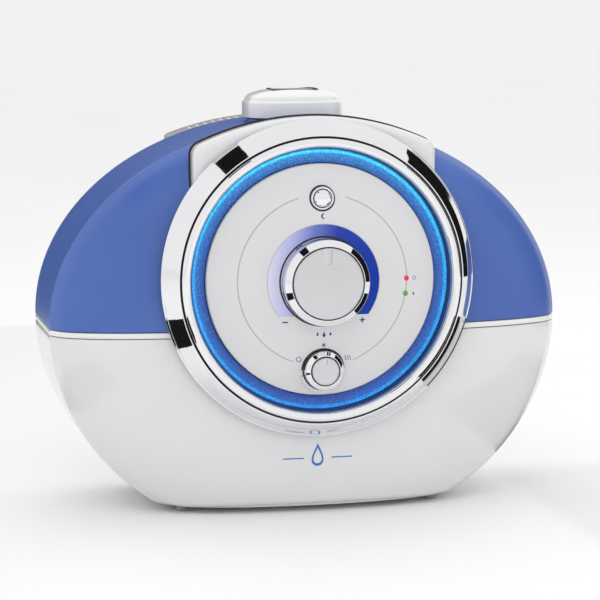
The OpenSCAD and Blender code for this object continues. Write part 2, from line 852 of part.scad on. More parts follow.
base_housing();
basin_rim();
basin();
basin_posts();
screw_posts();
air_riser();
bottom_cover();
feet();
cover_screws();
control_tower();
tower_back();
pod_frame();
pod_screws();
control_board();
led_board();
light_ring();
bezel_bead();
chrome_bezel();
faceplate();
humidity_pot();
humidity_shaft();
humidity_knob();
humidity_knob_ring();
mode_switch();
mode_shaft();
mode_knob();
mode_knob_ring();
lamp_switch();
lamp_button_ring();
lamp_button();
power_indicator();
no_water_indicator();
fan_frame();
fan_motor();
fan_shaft();
fan_impeller();
air_duct();
main_board();
heat_sink();
transformer();
power_inlet();
transducer_gasket();
transducer();
transducer_clamp();
heater_block();
float_ring();
float_clip();
tank_shell();
tank_floor();
mist_duct();
filler_neck();
tank_cap();
cap_gasket();
valve_plunger();
valve_spring();
rear_handle();
nozzle_seat();
mist_nozzle();
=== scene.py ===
import json
import math
import random

import bmesh
import bpy
from mathutils import Matrix, Vector


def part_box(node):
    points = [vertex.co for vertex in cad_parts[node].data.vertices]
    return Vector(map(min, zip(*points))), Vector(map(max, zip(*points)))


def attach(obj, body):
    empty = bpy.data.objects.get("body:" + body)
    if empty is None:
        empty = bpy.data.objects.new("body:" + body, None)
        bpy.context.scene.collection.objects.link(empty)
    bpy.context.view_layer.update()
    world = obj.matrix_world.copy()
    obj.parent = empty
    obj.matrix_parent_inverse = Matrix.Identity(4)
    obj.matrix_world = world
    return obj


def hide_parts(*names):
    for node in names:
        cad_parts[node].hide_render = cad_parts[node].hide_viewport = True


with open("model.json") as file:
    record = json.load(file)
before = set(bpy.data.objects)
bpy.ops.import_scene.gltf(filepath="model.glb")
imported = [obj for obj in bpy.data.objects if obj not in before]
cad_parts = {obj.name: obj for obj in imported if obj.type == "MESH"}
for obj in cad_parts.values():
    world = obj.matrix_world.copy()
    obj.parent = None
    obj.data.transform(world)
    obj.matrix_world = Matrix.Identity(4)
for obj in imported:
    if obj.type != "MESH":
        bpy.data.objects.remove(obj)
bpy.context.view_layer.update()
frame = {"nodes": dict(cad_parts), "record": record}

# ---------------------------------------------------------------- sizes, in metres
MM = 0.001
base_lo, base_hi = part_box("base_housing")
basin_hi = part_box("basin_rim")[1]
tank_lo, tank_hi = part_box("tank_shell")
tower_lo, tower_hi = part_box("control_tower")
bezel_lo, bezel_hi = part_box("chrome_bezel")
knob_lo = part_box("humidity_knob")[0]
mode_lo, mode_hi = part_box("mode_knob_ring")
lamp_lo, lamp_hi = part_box("lamp_button_ring")
nozzle_lo, nozzle_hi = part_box("mist_nozzle")
handle_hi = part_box("rear_handle")[1]
duct_lo, duct_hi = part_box("mist_duct")

HALF_W = tank_hi.x
FOOT_H = base_lo.z
BASE_TOP = base_hi.z
RIM_TOP = basin_hi.z
TANK_Z = tank_lo.z
SEAM_Z = (RIM_TOP + TANK_Z) / 2
BOSS_Z = tank_hi.z
TANK_H = BOSS_Z - 0.3 * MM - SEAM_Z
LOW_H = 160 * MM
TOWER_REAR = 22.5 * MM                 # tower's back, ahead of the front edge line
FRONT_Y = tower_hi.y + TOWER_REAR
REAR_Y = FRONT_Y + 96 * MM
BULGE_FRONT = 39 * MM
BULGE_REAR = 30 * MM
WALL = 2.8 * MM
POD_Z = (bezel_lo.z + bezel_hi.z) / 2
RING_R = 92.4 * MM
FACE_R = 81.5 * MM
FACE_H = 62.5 * MM
DOME_R = (FACE_R ** 2 + (11.5 * MM) ** 2) / (2 * 11.5 * MM)
KNOB_H = FRONT_Y - knob_lo.y           # the knob's face, ahead of the front edge line
MODE_Z = (mode_lo.z + mode_hi.z) / 2
LAMP_Z = (lamp_lo.z + lamp_hi.z) / 2
DUCT_Y = (duct_lo.y + duct_hi.y) / 2
TRAY_W = 148 * MM
TRAY_Y0 = FRONT_Y + 2 * MM
TRAY_Y1 = REAR_Y + 8 * MM
NOTCH_W = tower_hi.x + 1.2 * MM
NOTCH_Y = FRONT_Y - TOWER_REAR + 2.5 * MM


# ---------------------------------------------------------------- mesh helpers
def new_object(name, mesh):
    piece = bpy.data.objects.new(name, mesh)
    bpy.context.scene.collection.objects.link(piece)
    return piece


def finish_mesh(name, bm, sharp_deg=32, smooth=True):
    """Cleans a bmesh and makes it a shaded object."""
    bmesh.ops.remove_doubles(bm, verts=bm.verts, dist=2e-6)
    bmesh.ops.recalc_face_normals(bm, faces=bm.faces)
    mesh = bpy.data.meshes.new(name)
    bm.to_mesh(mesh)
    bm.free()
    if smooth:
        mesh.shade_smooth()
        mesh.set_sharp_from_angle(angle=math.radians(sharp_deg))
    else:
        mesh.shade_flat()
    return new_object(name, mesh)


def weave(bm, rows, wrap_rows=False, wrap_cols=True, skip=-1):
    """Quads through rows of points, with none after the row called skip; returns the vertices."""
    made = [[bm.verts.new(p) for p in row] for row in rows]
    count = len(rows)
    for i in range(count if wrap_rows else count - 1):
        if i == skip:
            continue
        row, following = made[i], made[(i + 1) % count]
        width = len(row)
        for j in range(width if wrap_cols else width - 1):
            k = (j + 1) % width
            bm.faces.new((row[j], row[k], following[k], following[j]))
    return made


def grid(name, rows, wrap_rows=False, wrap_cols=True, cap_ends=False, sharp_deg=32, smooth=True):
    """A surface through rows of points; rows and columns may close on themselves."""
    bm = bmesh.new()
    made = weave(bm, rows, wrap_rows, wrap_cols)
    if cap_ends:
        bm.faces.new(made[0])
        bm.faces.new(made[-1])
    return finish_mesh(name, bm, sharp_deg, smooth)


def fillet(points, radius, steps=4, closed=True):
    """Rounds the corners of a 2D outline. radius is one number or one for each point."""
    count = len(points)
    radii = [radius] * count if isinstance(radius, (int, float)) else list(radius)
    out = []
    for i, corner in enumerate(points):
        if radii[i] <= 0 or (not closed and i in (0, count - 1)):
            out.append(tuple(corner))
            continue
        here = Vector(corner)
        before = Vector(points[i - 1]) - here
        after = Vector(points[(i + 1) % count]) - here
        reach = min(radii[i], before.length * 0.45, after.length * 0.45)
        a = here + before.normalized() * reach
        b = here + after.normalized() * reach
        for s in range(steps + 1):
            t = s / steps
            out.append(tuple(a * (1 - t) ** 2 + here * 2 * t * (1 - t) + b * t * t))
    return out


def crisp(profile, reach=0.25 * MM):
    """Adds a point near both ends of each long side, so that its smooth shading stays flat."""
    out = []
    for start, end in zip(profile, profile[1:] + profile[:1]):
        out.append(start)
        side = Vector(end) - Vector(start)
        if side.length > 4 * reach:
            step = side.normalized() * reach
            out += [tuple(Vector(start) + step), tuple(Vector(end) - step)]
    return out


def lathe(name, profile, x=0.0, z=POD_Z, steps=160, closed=True, sharp_deg=32, smooth=True):
    """Turns a profile of (radius, distance ahead of the front edge line) about a Y axis."""
    rows = [[(px, FRONT_Y - ahead, pz) for px, pz in circle(x, z, r, steps)]
            for r, ahead in profile]
    return grid(name, rows, wrap_rows=closed, sharp_deg=sharp_deg, smooth=smooth)


def lathe_up(name, profile, x, y, steps=96, closed=True, sharp_deg=32):
    """Turns a profile of (radius, height) about a vertical axis."""
    rows = [[(px, py, z) for px, py in circle(x, y, r, steps)] for r, z in profile]
    return grid(name, rows, wrap_rows=closed, sharp_deg=sharp_deg)


def prism(name, outline, axis, start, end, edge=0.0):
    """A solid of one outline along an axis ('y' or 'z'), its end edges eased."""
    centre = sum((Vector(p) for p in outline), Vector((0, 0))) / len(outline)
    levels = [(start, edge), (start + edge, 0), (end - edge, 0), (end, edge)] if edge else \
        [(start, 0), (end, 0)]
    rows = []
    for level, inset in levels:
        row = []
        for p in outline:
            arm = Vector(p) - centre
            q = centre + arm * max(0.0, 1 - inset / max(arm.length, 1e-9))
            row.append((q.x, level, q.y) if axis == "y" else (q.x, q.y, level))
        rows.append(row)
    return grid(name, rows, cap_ends=True)


def rounded_rect(x0, x1, y0, y1, radius, steps=8):
    out = []
    for cx, cy, start in ((x1 - radius, y1 - radius, 0), (x0 + radius, y1 - radius, 90),
                          (x0 + radius, y0 + radius, 180), (x1 - radius, y0 + radius, 270)):
        for s in range(steps + 1):
            t = math.radians(start + 90 * s / steps)
            out.append((cx + radius * math.cos(t), cy + radius * math.sin(t)))
    return out


def circle(cx, cy, radius, steps=64):
    return [(cx + radius * math.cos(2 * math.pi * i / steps),
             cy + radius * math.sin(2 * math.pi * i / steps)) for i in range(steps)]


def cut(piece, *cutters, sharp_deg=32, operation="DIFFERENCE"):
    """Takes the cutters away from a piece and deletes them."""
    for cutter in cutters:
        step = piece.modifiers.new("cut", "BOOLEAN")
        step.operation = operation
        step.solver = "EXACT"
        step.object = cutter
        bpy.context.view_layer.update()
        shown = piece.evaluated_get(bpy.context.evaluated_depsgraph_get())
        mesh = bpy.data.meshes.new_from_object(shown)
        piece.modifiers.clear()
        old = piece.data
        piece.data = mesh
        bpy.data.meshes.remove(old)
        bpy.data.objects.remove(cutter)
    piece.data.shade_smooth()
    piece.data.set_sharp_from_angle(angle=math.radians(sharp_deg))
    return piece


def join(name, pieces):
    """Joins pieces into one object."""
    bm = bmesh.new()
    for piece in pieces:
        bm.from_mesh(piece.data)
        bpy.data.objects.remove(piece)
    mesh = bpy.data.meshes.new(name)
    bm.to_mesh(mesh)
    bm.free()
    return new_object(name, mesh)


def dress(piece, material, body, slot, *nodes):
    """Gives a piece its material, body and the CAD nodes that it stands for; slot is not used."""
    piece.data.materials.clear()
    piece.data.materials.append(material)
    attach(piece, body)
    if nodes:
        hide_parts(*nodes)
    return piece


# ---------------------------------------------------------------- material helpers
def shader(name, color, roughness=0.4, metallic=0.0, **sockets):
    """A material whose Principled node has these constants; other sockets by name."""
    material = bpy.data.materials.new(name)
    material.use_nodes = True
    principled = material.node_tree.nodes["Principled BSDF"]
    principled.inputs["Base Color"].default_value = (*color, 1)
    principled.inputs["Roughness"].default_value = roughness
    principled.inputs["Metallic"].default_value = metallic
    for socket, value in sockets.items():
        principled.inputs[socket.replace("_", " ")].default_value = value
    return material, material.node_tree, principled


def node(tree, kind, **values):
    made = tree.nodes.new(kind)
    for key, value in values.items():
        if hasattr(made, key):
            setattr(made, key, value)
        else:
            made.inputs[key.replace("_", " ")].default_value = value
    return made


def coords(tree):
    return node(tree, "ShaderNodeTexCoord").outputs["Object"]


def noise(tree, scale, detail=3.0, roughness=0.55, stretch=None):
    source = coords(tree)
    if stretch:
        mapping = node(tree, "ShaderNodeMapping")
        mapping.inputs["Scale"].default_value = stretch
        tree.links.new(source, mapping.inputs["Vector"])
        source = mapping.outputs["Vector"]
    made = node(tree, "ShaderNodeTexNoise", Scale=scale, Detail=detail, Roughness=roughness)
    tree.links.new(source, made.inputs["Vector"])
    return made.outputs["Fac"]


def ramp(tree, factor, *stops):
    made = tree.nodes.new("ShaderNodeValToRGB")
    ends = made.color_ramp.elements
    while len(ends) < len(stops):
        ends.new(0.5)
    for element, (position, color) in zip(ends, stops):
        element.position = position
        element.color = (*color, 1) if len(color) == 3 else color
    tree.links.new(factor, made.inputs["Fac"])
    return made.outputs["Color"]


def spread(tree, factor, low, high):
    made = node(tree, "ShaderNodeMapRange")
    made.inputs["To Min"].default_value = low
    made.inputs["To Max"].default_value = high
    tree.links.new(factor, made.inputs["Value"])
    return made.outputs["Result"]


def bump(tree, principled, height, strength, distance):
    made = node(tree, "ShaderNodeBump", Strength=strength, Distance=distance)
    tree.links.new(height, made.inputs["Height"])
    tree.links.new(made.outputs["Normal"], principled.inputs["Normal"])
    return made


def edge_wear(tree, base, worn, amount=0.5):
    """Mixes a base colour towards a worn one along the convex edges."""
    geometry = node(tree, "ShaderNodeNewGeometry")
    edges = ramp(tree, geometry.outputs["Pointiness"], (0.505, (0, 0, 0)), (0.56, (1, 1, 1)))
    patches = spread(tree, noise(tree, 180, 5), 0, 2 * amount)
    product = node(tree, "ShaderNodeMath", operation="MULTIPLY", use_clamp=True)
    tree.links.new(edges, product.inputs[0])
    tree.links.new(patches, product.inputs[1])
    mix = node(tree, "ShaderNodeMix", data_type="RGBA")
    tree.links.new(product.outputs[0], mix.inputs["Factor"])
    tree.links.new(base, mix.inputs["A"])
    mix.inputs["B"].default_value = (*worn, 1)
    return mix.outputs["Result"]


def multiplied(tree, color, layer):
    mix = node(tree, "ShaderNodeMix", data_type="RGBA", blend_type="MULTIPLY")
    mix.inputs["Factor"].default_value = 1
    tree.links.new(color, mix.inputs["A"])
    tree.links.new(layer, mix.inputs["B"])
    return mix.outputs["Result"]


def axis_value(tree, axis):
    """One coordinate of the object's own space."""
    split = node(tree, "ShaderNodeSeparateXYZ")
    tree.links.new(coords(tree), split.inputs["Vector"])
    return split.outputs[axis]


def tint(color, factor):
    return tuple(min(1.0, c * factor) for c in color)


def plastic(name, color, roughness=0.3, coat=0.0, grain=0.0, grain_scale=2500, vary=0.04,
            wear=0.0, **sockets):
    """Moulded plastic: faint cloudy colour, uneven gloss, and a fine grain or orange peel."""
    material, tree, principled = shader(name, color, roughness, Coat_Weight=coat,
                                        Coat_Roughness=0.06, **sockets)
    cloud = noise(tree, 22, 4)
    shade = ramp(tree, cloud, (0.3, tint(color, 1 - vary)), (0.7, tint(color, 1 + vary)))
    if wear:
        shade = edge_wear(tree, shade, tint(color, 1.25), wear)
    tree.links.new(shade, principled.inputs["Base Color"])
    smudge = noise(tree, 60, 6, 0.65)
    tree.links.new(spread(tree, smudge, roughness * 0.8, roughness * 1.25),
                   principled.inputs["Roughness"])
    peel = noise(tree, grain_scale if grain else 260, 2)
    bump(tree, principled, peel, 0.25 if grain else 0.08, (grain or 0.02) * MM)
    return material


def metal(name, color, roughness, brushed=0.0, **sockets):
    """Plated or bare metal with faint smudges, and fine turning marks where brushed."""
    material, tree, principled = shader(name, color, roughness, 1.0, **sockets)
    tree.links.new(spread(tree, noise(tree, 45, 6, 0.7), roughness * 0.75, roughness * 1.35),
                   principled.inputs["Roughness"])
    shade = ramp(tree, noise(tree, 30, 3), (0.3, tint(color, 0.97)), (0.7, tint(color, 1.02)))
    tree.links.new(shade, principled.inputs["Base Color"])
    if brushed:
        bump(tree, principled, noise(tree, 900, 4, 0.6), 0.2, brushed * MM)
    return material


# ---------------------------------------------------------------- materials
WHITE = (0.72, 0.72, 0.73)


def tank_material(name="tank_blue", clear=0.03):
    """Frosted translucent blue: deeper where the cloud is dense, glossy outside."""
    deep, light = (0.05, 0.11, 0.40), (0.07, 0.155, 0.48)
    material, tree, principled = shader(name, light, 0.36, Coat_Weight=0.12,
                                        Coat_Roughness=0.3, Transmission_Weight=clear, IOR=1.45)
    tree.links.new(ramp(tree, noise(tree, 9, 3), (0.25, deep), (0.75, light)),
                   principled.inputs["Base Color"])
    tree.links.new(spread(tree, noise(tree, 70, 6, 0.65), 0.32, 0.4), principled.inputs["Roughness"])
    bump(tree, principled, noise(tree, 320, 3), 0.05, 0.03 * MM)
    return material


def radial(tree, x=0.0, z=POD_Z):
    """Distance from an axis along Y through (x, z)."""
    shift = node(tree, "ShaderNodeVectorMath", operation="SUBTRACT")
    shift.inputs[1].default_value = (x, 0, z)
    tree.links.new(coords(tree), shift.inputs[0])
    flat = node(tree, "ShaderNodeVectorMath", operation="MULTIPLY")
    flat.inputs[1].default_value = (1, 0, 1)
    tree.links.new(shift.outputs["Vector"], flat.inputs[0])
    length = node(tree, "ShaderNodeVectorMath", operation="LENGTH")
    tree.links.new(flat.outputs["Vector"], length.inputs[0])
    return length.outputs["Value"]


def between(tree, value, low, high):
    made = node(tree, "ShaderNodeMapRange")
    made.inputs["From Min"].default_value = low
    made.inputs["From Max"].default_value = high
    tree.links.new(value, made.inputs["Value"])
    return made.outputs["Result"]


def light_ring_material():
    """Lit prismatic ring: brighter to the outside; a painted highlight makes the top lighter and
    warmer, and painted glints give it a fine sparkle.
    """
    material, tree, principled = shader("light_ring_blue", (0.02, 0.25, 0.7), 0.25,
                                        Coat_Weight=0.25, Emission_Strength=0.5)
    across = between(tree, radial(tree), 82 * MM, RING_R)
    body = ramp(tree, across, (0.0, (0.004, 0.035, 0.22)), (0.30, (0.005, 0.075, 0.34)),
                (0.62, (0.007, 0.13, 0.46)), (0.76, (0.03, 0.38, 0.80)),
                (0.88, (0.02, 0.24, 0.62)), (1.0, (0.005, 0.05, 0.30)))
    height = between(tree, axis_value(tree, "Z"), POD_Z - RING_R, POD_Z + RING_R)
    sparkle = node(tree, "ShaderNodeTexVoronoi", Scale=1300)
    tree.links.new(coords(tree), sparkle.inputs["Vector"])
    # painted glints: bright random cells lighten the ring's colour like sparkles of light
    painted_glints = ramp(tree, sparkle.outputs["Color"], (0.15, (0.62, 0.62, 0.62)),
                 (0.8, (1.15, 1.15, 1.15)), (0.95, (1.9, 1.9, 1.9)))
    # painted highlight: the colour grows lighter and warmer toward the top of the ring
    painted_top_light = ramp(tree, height, (0.0, (0.75, 0.75, 0.9)), (0.55, (1.0, 1.05, 1.0)),
                (1.0, (2.2, 1.9, 1.3)))
    color = multiplied(tree, multiplied(tree, body, painted_glints), painted_top_light)
    tree.links.new(color, principled.inputs["Base Color"])
    tree.links.new(color, principled.inputs["Emission Color"])
    bump(tree, principled, sparkle.outputs["Distance"], 0.5, 0.25 * MM)
    return material


def arc_material():
    """The printed humidity scale: pale lavender on the left to deep blue on the right."""
    material, tree, principled = shader("print_scale", (0.1, 0.1, 0.6), 0.45,
                                        Specular_IOR_Level=0.1)
    along = between(tree, axis_value(tree, "X"), -40 * MM, 40 * MM)
    color = ramp(tree, along, (0.0, (0.70, 0.71, 0.86)), (0.22, (0.47, 0.48, 0.80)),
                 (0.42, (0.17, 0.21, 0.58)), (0.62, (0.03, 0.065, 0.40)), (1.0, (0.006, 0.04, 0.36)))
    speck = ramp(tree, noise(tree, 1400, 2), (0.3, (0.94, 0.94, 0.94)), (0.7, (1.05, 1.05, 1.05)))
    tree.links.new(multiplied(tree, color, speck), principled.inputs["Base Color"])
    return material


MATERIALS = {
    "white_gloss": plastic("white_gloss", WHITE, 0.2, coat=0.35, vary=0.012),
    "rim_white": plastic("rim_white", (0.80, 0.80, 0.79), 0.22, coat=0.3, vary=0.012),
    "white_matte": plastic("white_matte", (0.68, 0.68, 0.69), 0.5, grain=0.03,
                           grain_scale=3200, vary=0.012),
    "inner_white": plastic("inner_white", (0.72, 0.72, 0.71), 0.45, grain=0.02, vary=0.02),
    "tank_blue": tank_material(),
    "tank_inner": tank_material("tank_inner_blue", 0.3),
    "chrome": metal("chrome", (0.86, 0.86, 0.88), 0.035),
    "knob_silver": metal("knob_silver", (0.66, 0.66, 0.68), 0.34, brushed=0.01),
    "light_blue": light_ring_material(),
    # painted reflection: glossy navy for the wall that stands for the light ring's reflection in the
    # chrome bead
    "navy_painted_reflection": plastic("ring_wall_painted_reflection_navy", (0.012, 0.014, 0.10), 0.15, coat=0.5),
    # painted shade: black for the pieces that fill gaps and seams where shade falls
    "black_painted_shade": plastic("painted_shade_black", (0.006, 0.006, 0.007), 0.5),
    "cap_blue": plastic("cap_blue", (0.03, 0.07, 0.34), 0.35, grain=0.02, wear=0.3),
    "steel": metal("steel", (0.56, 0.56, 0.58), 0.28, brushed=0.02),
    "rubber_grey": plastic("rubber_grey", (0.28, 0.28, 0.29), 0.75, grain=0.05, wear=0.4),
    "rubber_black": plastic("rubber_black", (0.02, 0.02, 0.02), 0.65, grain=0.04, wear=0.3),
    "board_green": plastic("board_green", (0.01, 0.12, 0.05), 0.35, coat=0.3, vary=0.2),
    "dark_plastic": plastic("dark_plastic", (0.03, 0.03, 0.033), 0.45, grain=0.03, wear=0.3),
    "motor_metal": metal("motor_metal", (0.25, 0.25, 0.27), 0.45, brushed=0.03),
    "aluminium": metal("aluminium", (0.62, 0.63, 0.65), 0.3, brushed=0.02),
    "transducer_brass": metal("transducer_brass", (0.72, 0.56, 0.28), 0.25, brushed=0.01),
    "float_orange": plastic("float_orange", (0.75, 0.25, 0.04), 0.6, grain=0.05, vary=0.08),
    "valve_red": plastic("valve_red", (0.6, 0.08, 0.04), 0.35, grain=0.02),
    "lamp_red": plastic("lamp_red", (0.65, 0.004, 0.02), 0.12, coat=0.6,
                        Emission_Color=(0.8, 0.01, 0.03, 1), Emission_Strength=0.25),
    "lamp_green": plastic("lamp_green", (0.06, 0.30, 0.03), 0.12, coat=0.6,
                          Emission_Color=(0.08, 0.4, 0.04, 1), Emission_Strength=0.12),
    "print_scale": arc_material(),
    "print_grey": plastic("print_grey", (0.42, 0.42, 0.43), 0.5, vary=0.05),
    "print_navy": plastic("print_navy", (0.02, 0.03, 0.20), 0.45, vary=0.08),
    "print_blue": plastic("print_blue", (0.03, 0.16, 0.48), 0.4, vary=0.08),
}


def skin_cad_nodes():
    """Every CAD node that shows gets the full material of its slot."""
    for row in frame["record"]["subparts"]:
        piece = frame["nodes"][row["node"]]
        finish = MATERIALS[row["material_slot"]]
        for slot in piece.material_slots:
            slot.material = finish
        if not piece.material_slots:
            piece.data.materials.append(finish)


# ---------------------------------------------------------------- housing surface
EDGE_RHO = 0.965                       # beyond it the dome runs straight to the edge line


def dome(rho):
    """Share of the bulge at a point rho of the way from the middle to the edge line."""
    if rho > EDGE_RHO:
        return (1 - EDGE_RHO ** 4) ** 0.6 * (1 - rho) / (1 - EDGE_RHO)
    return (1 - rho ** 4) ** 0.6


def section_loop(z, inset=0.0):
    """The housing's outline in plan at height z, its four edge lines eased."""
    height = (TANK_H if z > SEAM_Z else LOW_H) - inset
    drop = (z - SEAM_Z) / height
    reach = (HALF_W - inset) * math.sqrt(max(0.0, 1 - drop * drop))

    def side(edge_y, bulge, sign):
        points = []
        angles = [8, 12, 15, 18, 22, 26] + list(range(30, 151, 4)) + [154, 158, 162, 165, 168, 172]
        for degrees in angles:
            x = reach * math.cos(math.radians(degrees))
            rho = min(1.0, math.hypot(x / (HALF_W - inset), drop))
            points.append((x, edge_y + sign * bulge * dome(rho)))
        return points

    front_edge = FRONT_Y + inset / 3
    rear_edge = REAR_Y - inset / 3
    front = side(front_edge, BULGE_FRONT - inset * 2 / 3, -1)
    rear = side(rear_edge, BULGE_REAR - inset * 2 / 3, 1)[::-1]
    flat = [i / 6 for i in range(1, 6)]
    band = [(reach, rear_edge + (front_edge - rear_edge) * t) for t in flat]
    corners = [(reach, front_edge), *front, (-reach, front_edge),
               *[(-reach, y) for _, y in band[::-1]],
               (-reach, rear_edge), *rear, (reach, rear_edge), *band]
    radii = [1.4 * MM if abs(abs(p[0]) - reach) < 1e-9 and p[1] in (front_edge, rear_edge) else 0
             for p in corners]
    return fillet(corners, radii, 3)


def base_row(z, inset=0.0):
    """One level of the base; its underside arches up slightly between the feet."""
    row = []
    for x, y in section_loop(z, inset):
        arch = 1.4 * MM * max(0.0, 1 - (x / (88 * MM)) ** 2)
        fade = max(0.0, 1 - (z - FOOT_H) / (14 * MM))
        row.append((x, y, z + arch * fade))
    return row


def tower_cutter(name, gap):
    outline = rounded_rect(-tower_hi.x - gap, tower_hi.x + gap, -0.3,
                           FRONT_Y - TOWER_REAR + gap, 1.0 * MM, 3)
    return prism(name, outline, "z", tower_lo.z - gap, 0.4)


def build_base():
    ease = 5 * MM
    rows = []
    for step in range(7):
        a = math.radians(15 * step)
        rows.append(base_row(FOOT_H + ease * (1 - math.cos(a)), ease * (1 - math.sin(a))))
    low = FOOT_H + ease
    high = BASE_TOP - 0.8 * MM
    rows += [base_row(low + (high - low) * i / 16) for i in range(1, 17)]
    rows.append(base_row(BASE_TOP - 0.25 * MM, 0.2 * MM))
    rows.append(base_row(BASE_TOP, 0.8 * MM))
    rows += [base_row(BASE_TOP + (FOOT_H + 1 * MM - BASE_TOP) * i / 8, WALL) for i in range(9)]
    rows.append(base_row(FOOT_H, ease + 1.2 * MM))
    base = grid("base_shell", rows, wrap_rows=True)
    cut(base, tower_cutter("tower_gap", 0.4 * MM))
    dress(base, MATERIALS["white_gloss"], "root", "white_gloss", "base_housing")


def build_basin():
    rim_low = BASE_TOP + 0.45 * MM
    levels = [(rim_low, 5), (rim_low, 1.0), (rim_low + 0.2 * MM, 0.3), (rim_low + 0.7 * MM, 0),
              (RIM_TOP - 1.0 * MM, 0), (RIM_TOP - 0.3 * MM, 0.3), (RIM_TOP, 1.0), (RIM_TOP, 5)]
    rows = [[(x, y, z) for x, y in section_loop(z, inset * MM)] for z, inset in levels]
    rim = grid("basin_rim", rows, wrap_rows=True)
    cut(rim, tower_cutter("tower_gap", 0.4 * MM))
    dress(rim, MATERIALS["rim_white"], "root", "rim_white", "basin_rim")

    # deck: its outer loop is matched point by point to the tray's rounded mouth
    mouth = rounded_rect(-TRAY_W, TRAY_W, TRAY_Y0, TRAY_Y1, 18 * MM, 10)
    middle = Vector((0, (TRAY_Y0 + TRAY_Y1) / 2))
    outline = [Vector(p) for p in section_loop(rim_low + 1 * MM, 4.6 * MM)]

    def deck_point(p):
        heading = math.atan2(p[1] - middle.y, p[0])
        return min(outline, key=lambda q: abs(math.remainder(
            math.atan2(q.y - middle.y, q.x) - heading, 2 * math.pi)))

    deck = [deck_point(p) for p in mouth]

    def shrink(points, inset, z):
        row = []
        for x, y in points:
            row.append((x - math.copysign(min(inset, abs(x)), x),
                        y - math.copysign(min(inset, abs(y - middle.y)), y - middle.y), z))
        return row

    deck_z = BASE_TOP + 2.5 * MM
    low_z = BASE_TOP + 0.1 * MM
    rows = [[(p.x, p.y, low_z) for p in deck], [(p.x, p.y, deck_z) for p in deck],
            shrink(mouth, -1.5 * MM, deck_z), shrink(mouth, -0.4 * MM, deck_z - 0.4 * MM),
            shrink(mouth, 0, deck_z - 1.5 * MM), shrink(mouth, 0, low_z)]
    lid = grid("basin_deck", rows, wrap_rows=True)
    cut(lid, tower_cutter("tower_gap", 0.4 * MM))
    dress(lid, MATERIALS["rim_white"], "root", "rim_white")


# ---------------------------------------------------------------- tank
def tank_surface(inset, floor_z):
    """Rows of the tank's dome, band and rear dome, from the front's middle to the rear's."""
    a = HALF_W - inset
    h = TANK_H - (TANK_Z - SEAM_Z) - inset + (TANK_Z - floor_z)
    front_edge = FRONT_Y + inset / 3
    rear_edge = REAR_Y - inset / 3
    shares = [math.sin(math.radians(78 * step / 21)) for step in range(1, 22)] + [0.991]
    profile = [(rho, front_edge - (BULGE_FRONT - inset * 2 / 3) * dome(rho)) for rho in shares]
    scale = 150 * MM
    band = [(1.0, front_edge), (1.0, front_edge + 8 * MM), (1.0, (FRONT_Y + REAR_Y) / 2),
            (1.0, rear_edge - 8 * MM), (1.0, rear_edge)]
    rear = [(rho, rear_edge + (BULGE_REAR - inset * 2 / 3) * dome(rho)) for rho in shares]
    raw = profile + band + rear[::-1]
    radii = [0] * len(raw)
    radii[len(profile)] = radii[len(profile) + 4] = 1.4 * MM
    eased = fillet([(rho * scale, y) for rho, y in raw], radii, 3, closed=False)
    rows = []
    for r, y in eased:
        rho = r / scale
        rows.append([(a * rho * math.cos(math.pi * i / 96), y,
                      floor_z + h * rho * math.sin(math.pi * i / 96)) for i in range(97)])
    return rows


def tank_solid(name, inset, floor_z):
    """A closed solid under the tank's surface."""
    rows = tank_surface(inset, floor_z)
    bm = bmesh.new()
    made = weave(bm, rows, wrap_cols=False)
    bm.faces.new(made[0])
    bm.faces.new(made[-1])
    bm.faces.new([row[0] for row in made] + [row[-1] for row in made[::-1]])
    return finish_mesh(name, bm)


def notch_solid(name, grow):
    outline = rounded_rect(-NOTCH_W - grow, NOTCH_W + grow, -0.3, NOTCH_Y + grow, 3 * MM, 5)
    return prism(name, outline, "z", 0.05, 0.4)


def pocket_solid(name, grow):
    """The finger recess behind the handle, rounded in its corners."""
    x = 72 * MM + grow
    y0 = REAR_Y + 4 * MM - grow
    z0 = 232 * MM - grow
    outline = rounded_rect(-x, x, z0, 0.4, 8 * MM, 6)
    return prism(name, outline, "y", y0, 0.2)


def build_tank():
    shell = tank_solid("tank_body", 0, TANK_Z)
    boss = lathe_up("boss", [(0, BOSS_Z - 12 * MM), (33 * MM, BOSS_Z - 12 * MM),
                             (33 * MM, BOSS_Z - 0.3 * MM), (32.6 * MM, BOSS_Z), (0, BOSS_Z)],
                    0, DUCT_Y, closed=False)
    cut(shell, boss, operation="UNION")
    hollow = tank_solid("hollow", WALL, TANK_Z - 4 * MM)
    keep_boss = lathe_up("boss_in", [(0, BOSS_Z - 8 * MM), (34 * MM, BOSS_Z - 8 * MM),
                                     (34 * MM, BOSS_Z + 9 * MM), (0, BOSS_Z + 9 * MM)],
                         0, DUCT_Y, closed=False)
    cut(hollow, notch_solid("notch_in", WALL), pocket_solid("pocket_in", WALL), keep_boss)
    bore = prism("bore", circle(0, DUCT_Y, 23.8 * MM, 96), "z", 0.2, 0.4)
    cut(shell, notch_solid("notch", 0), pocket_solid("pocket", 0), hollow, bore)
    dress(shell, MATERIALS["tank_blue"], "tank", "tank_blue", "tank_shell")
    for name in ("tank_floor", "mist_duct"):
        for slot in frame["nodes"][name].material_slots:
            slot.material = MATERIALS["tank_inner"]


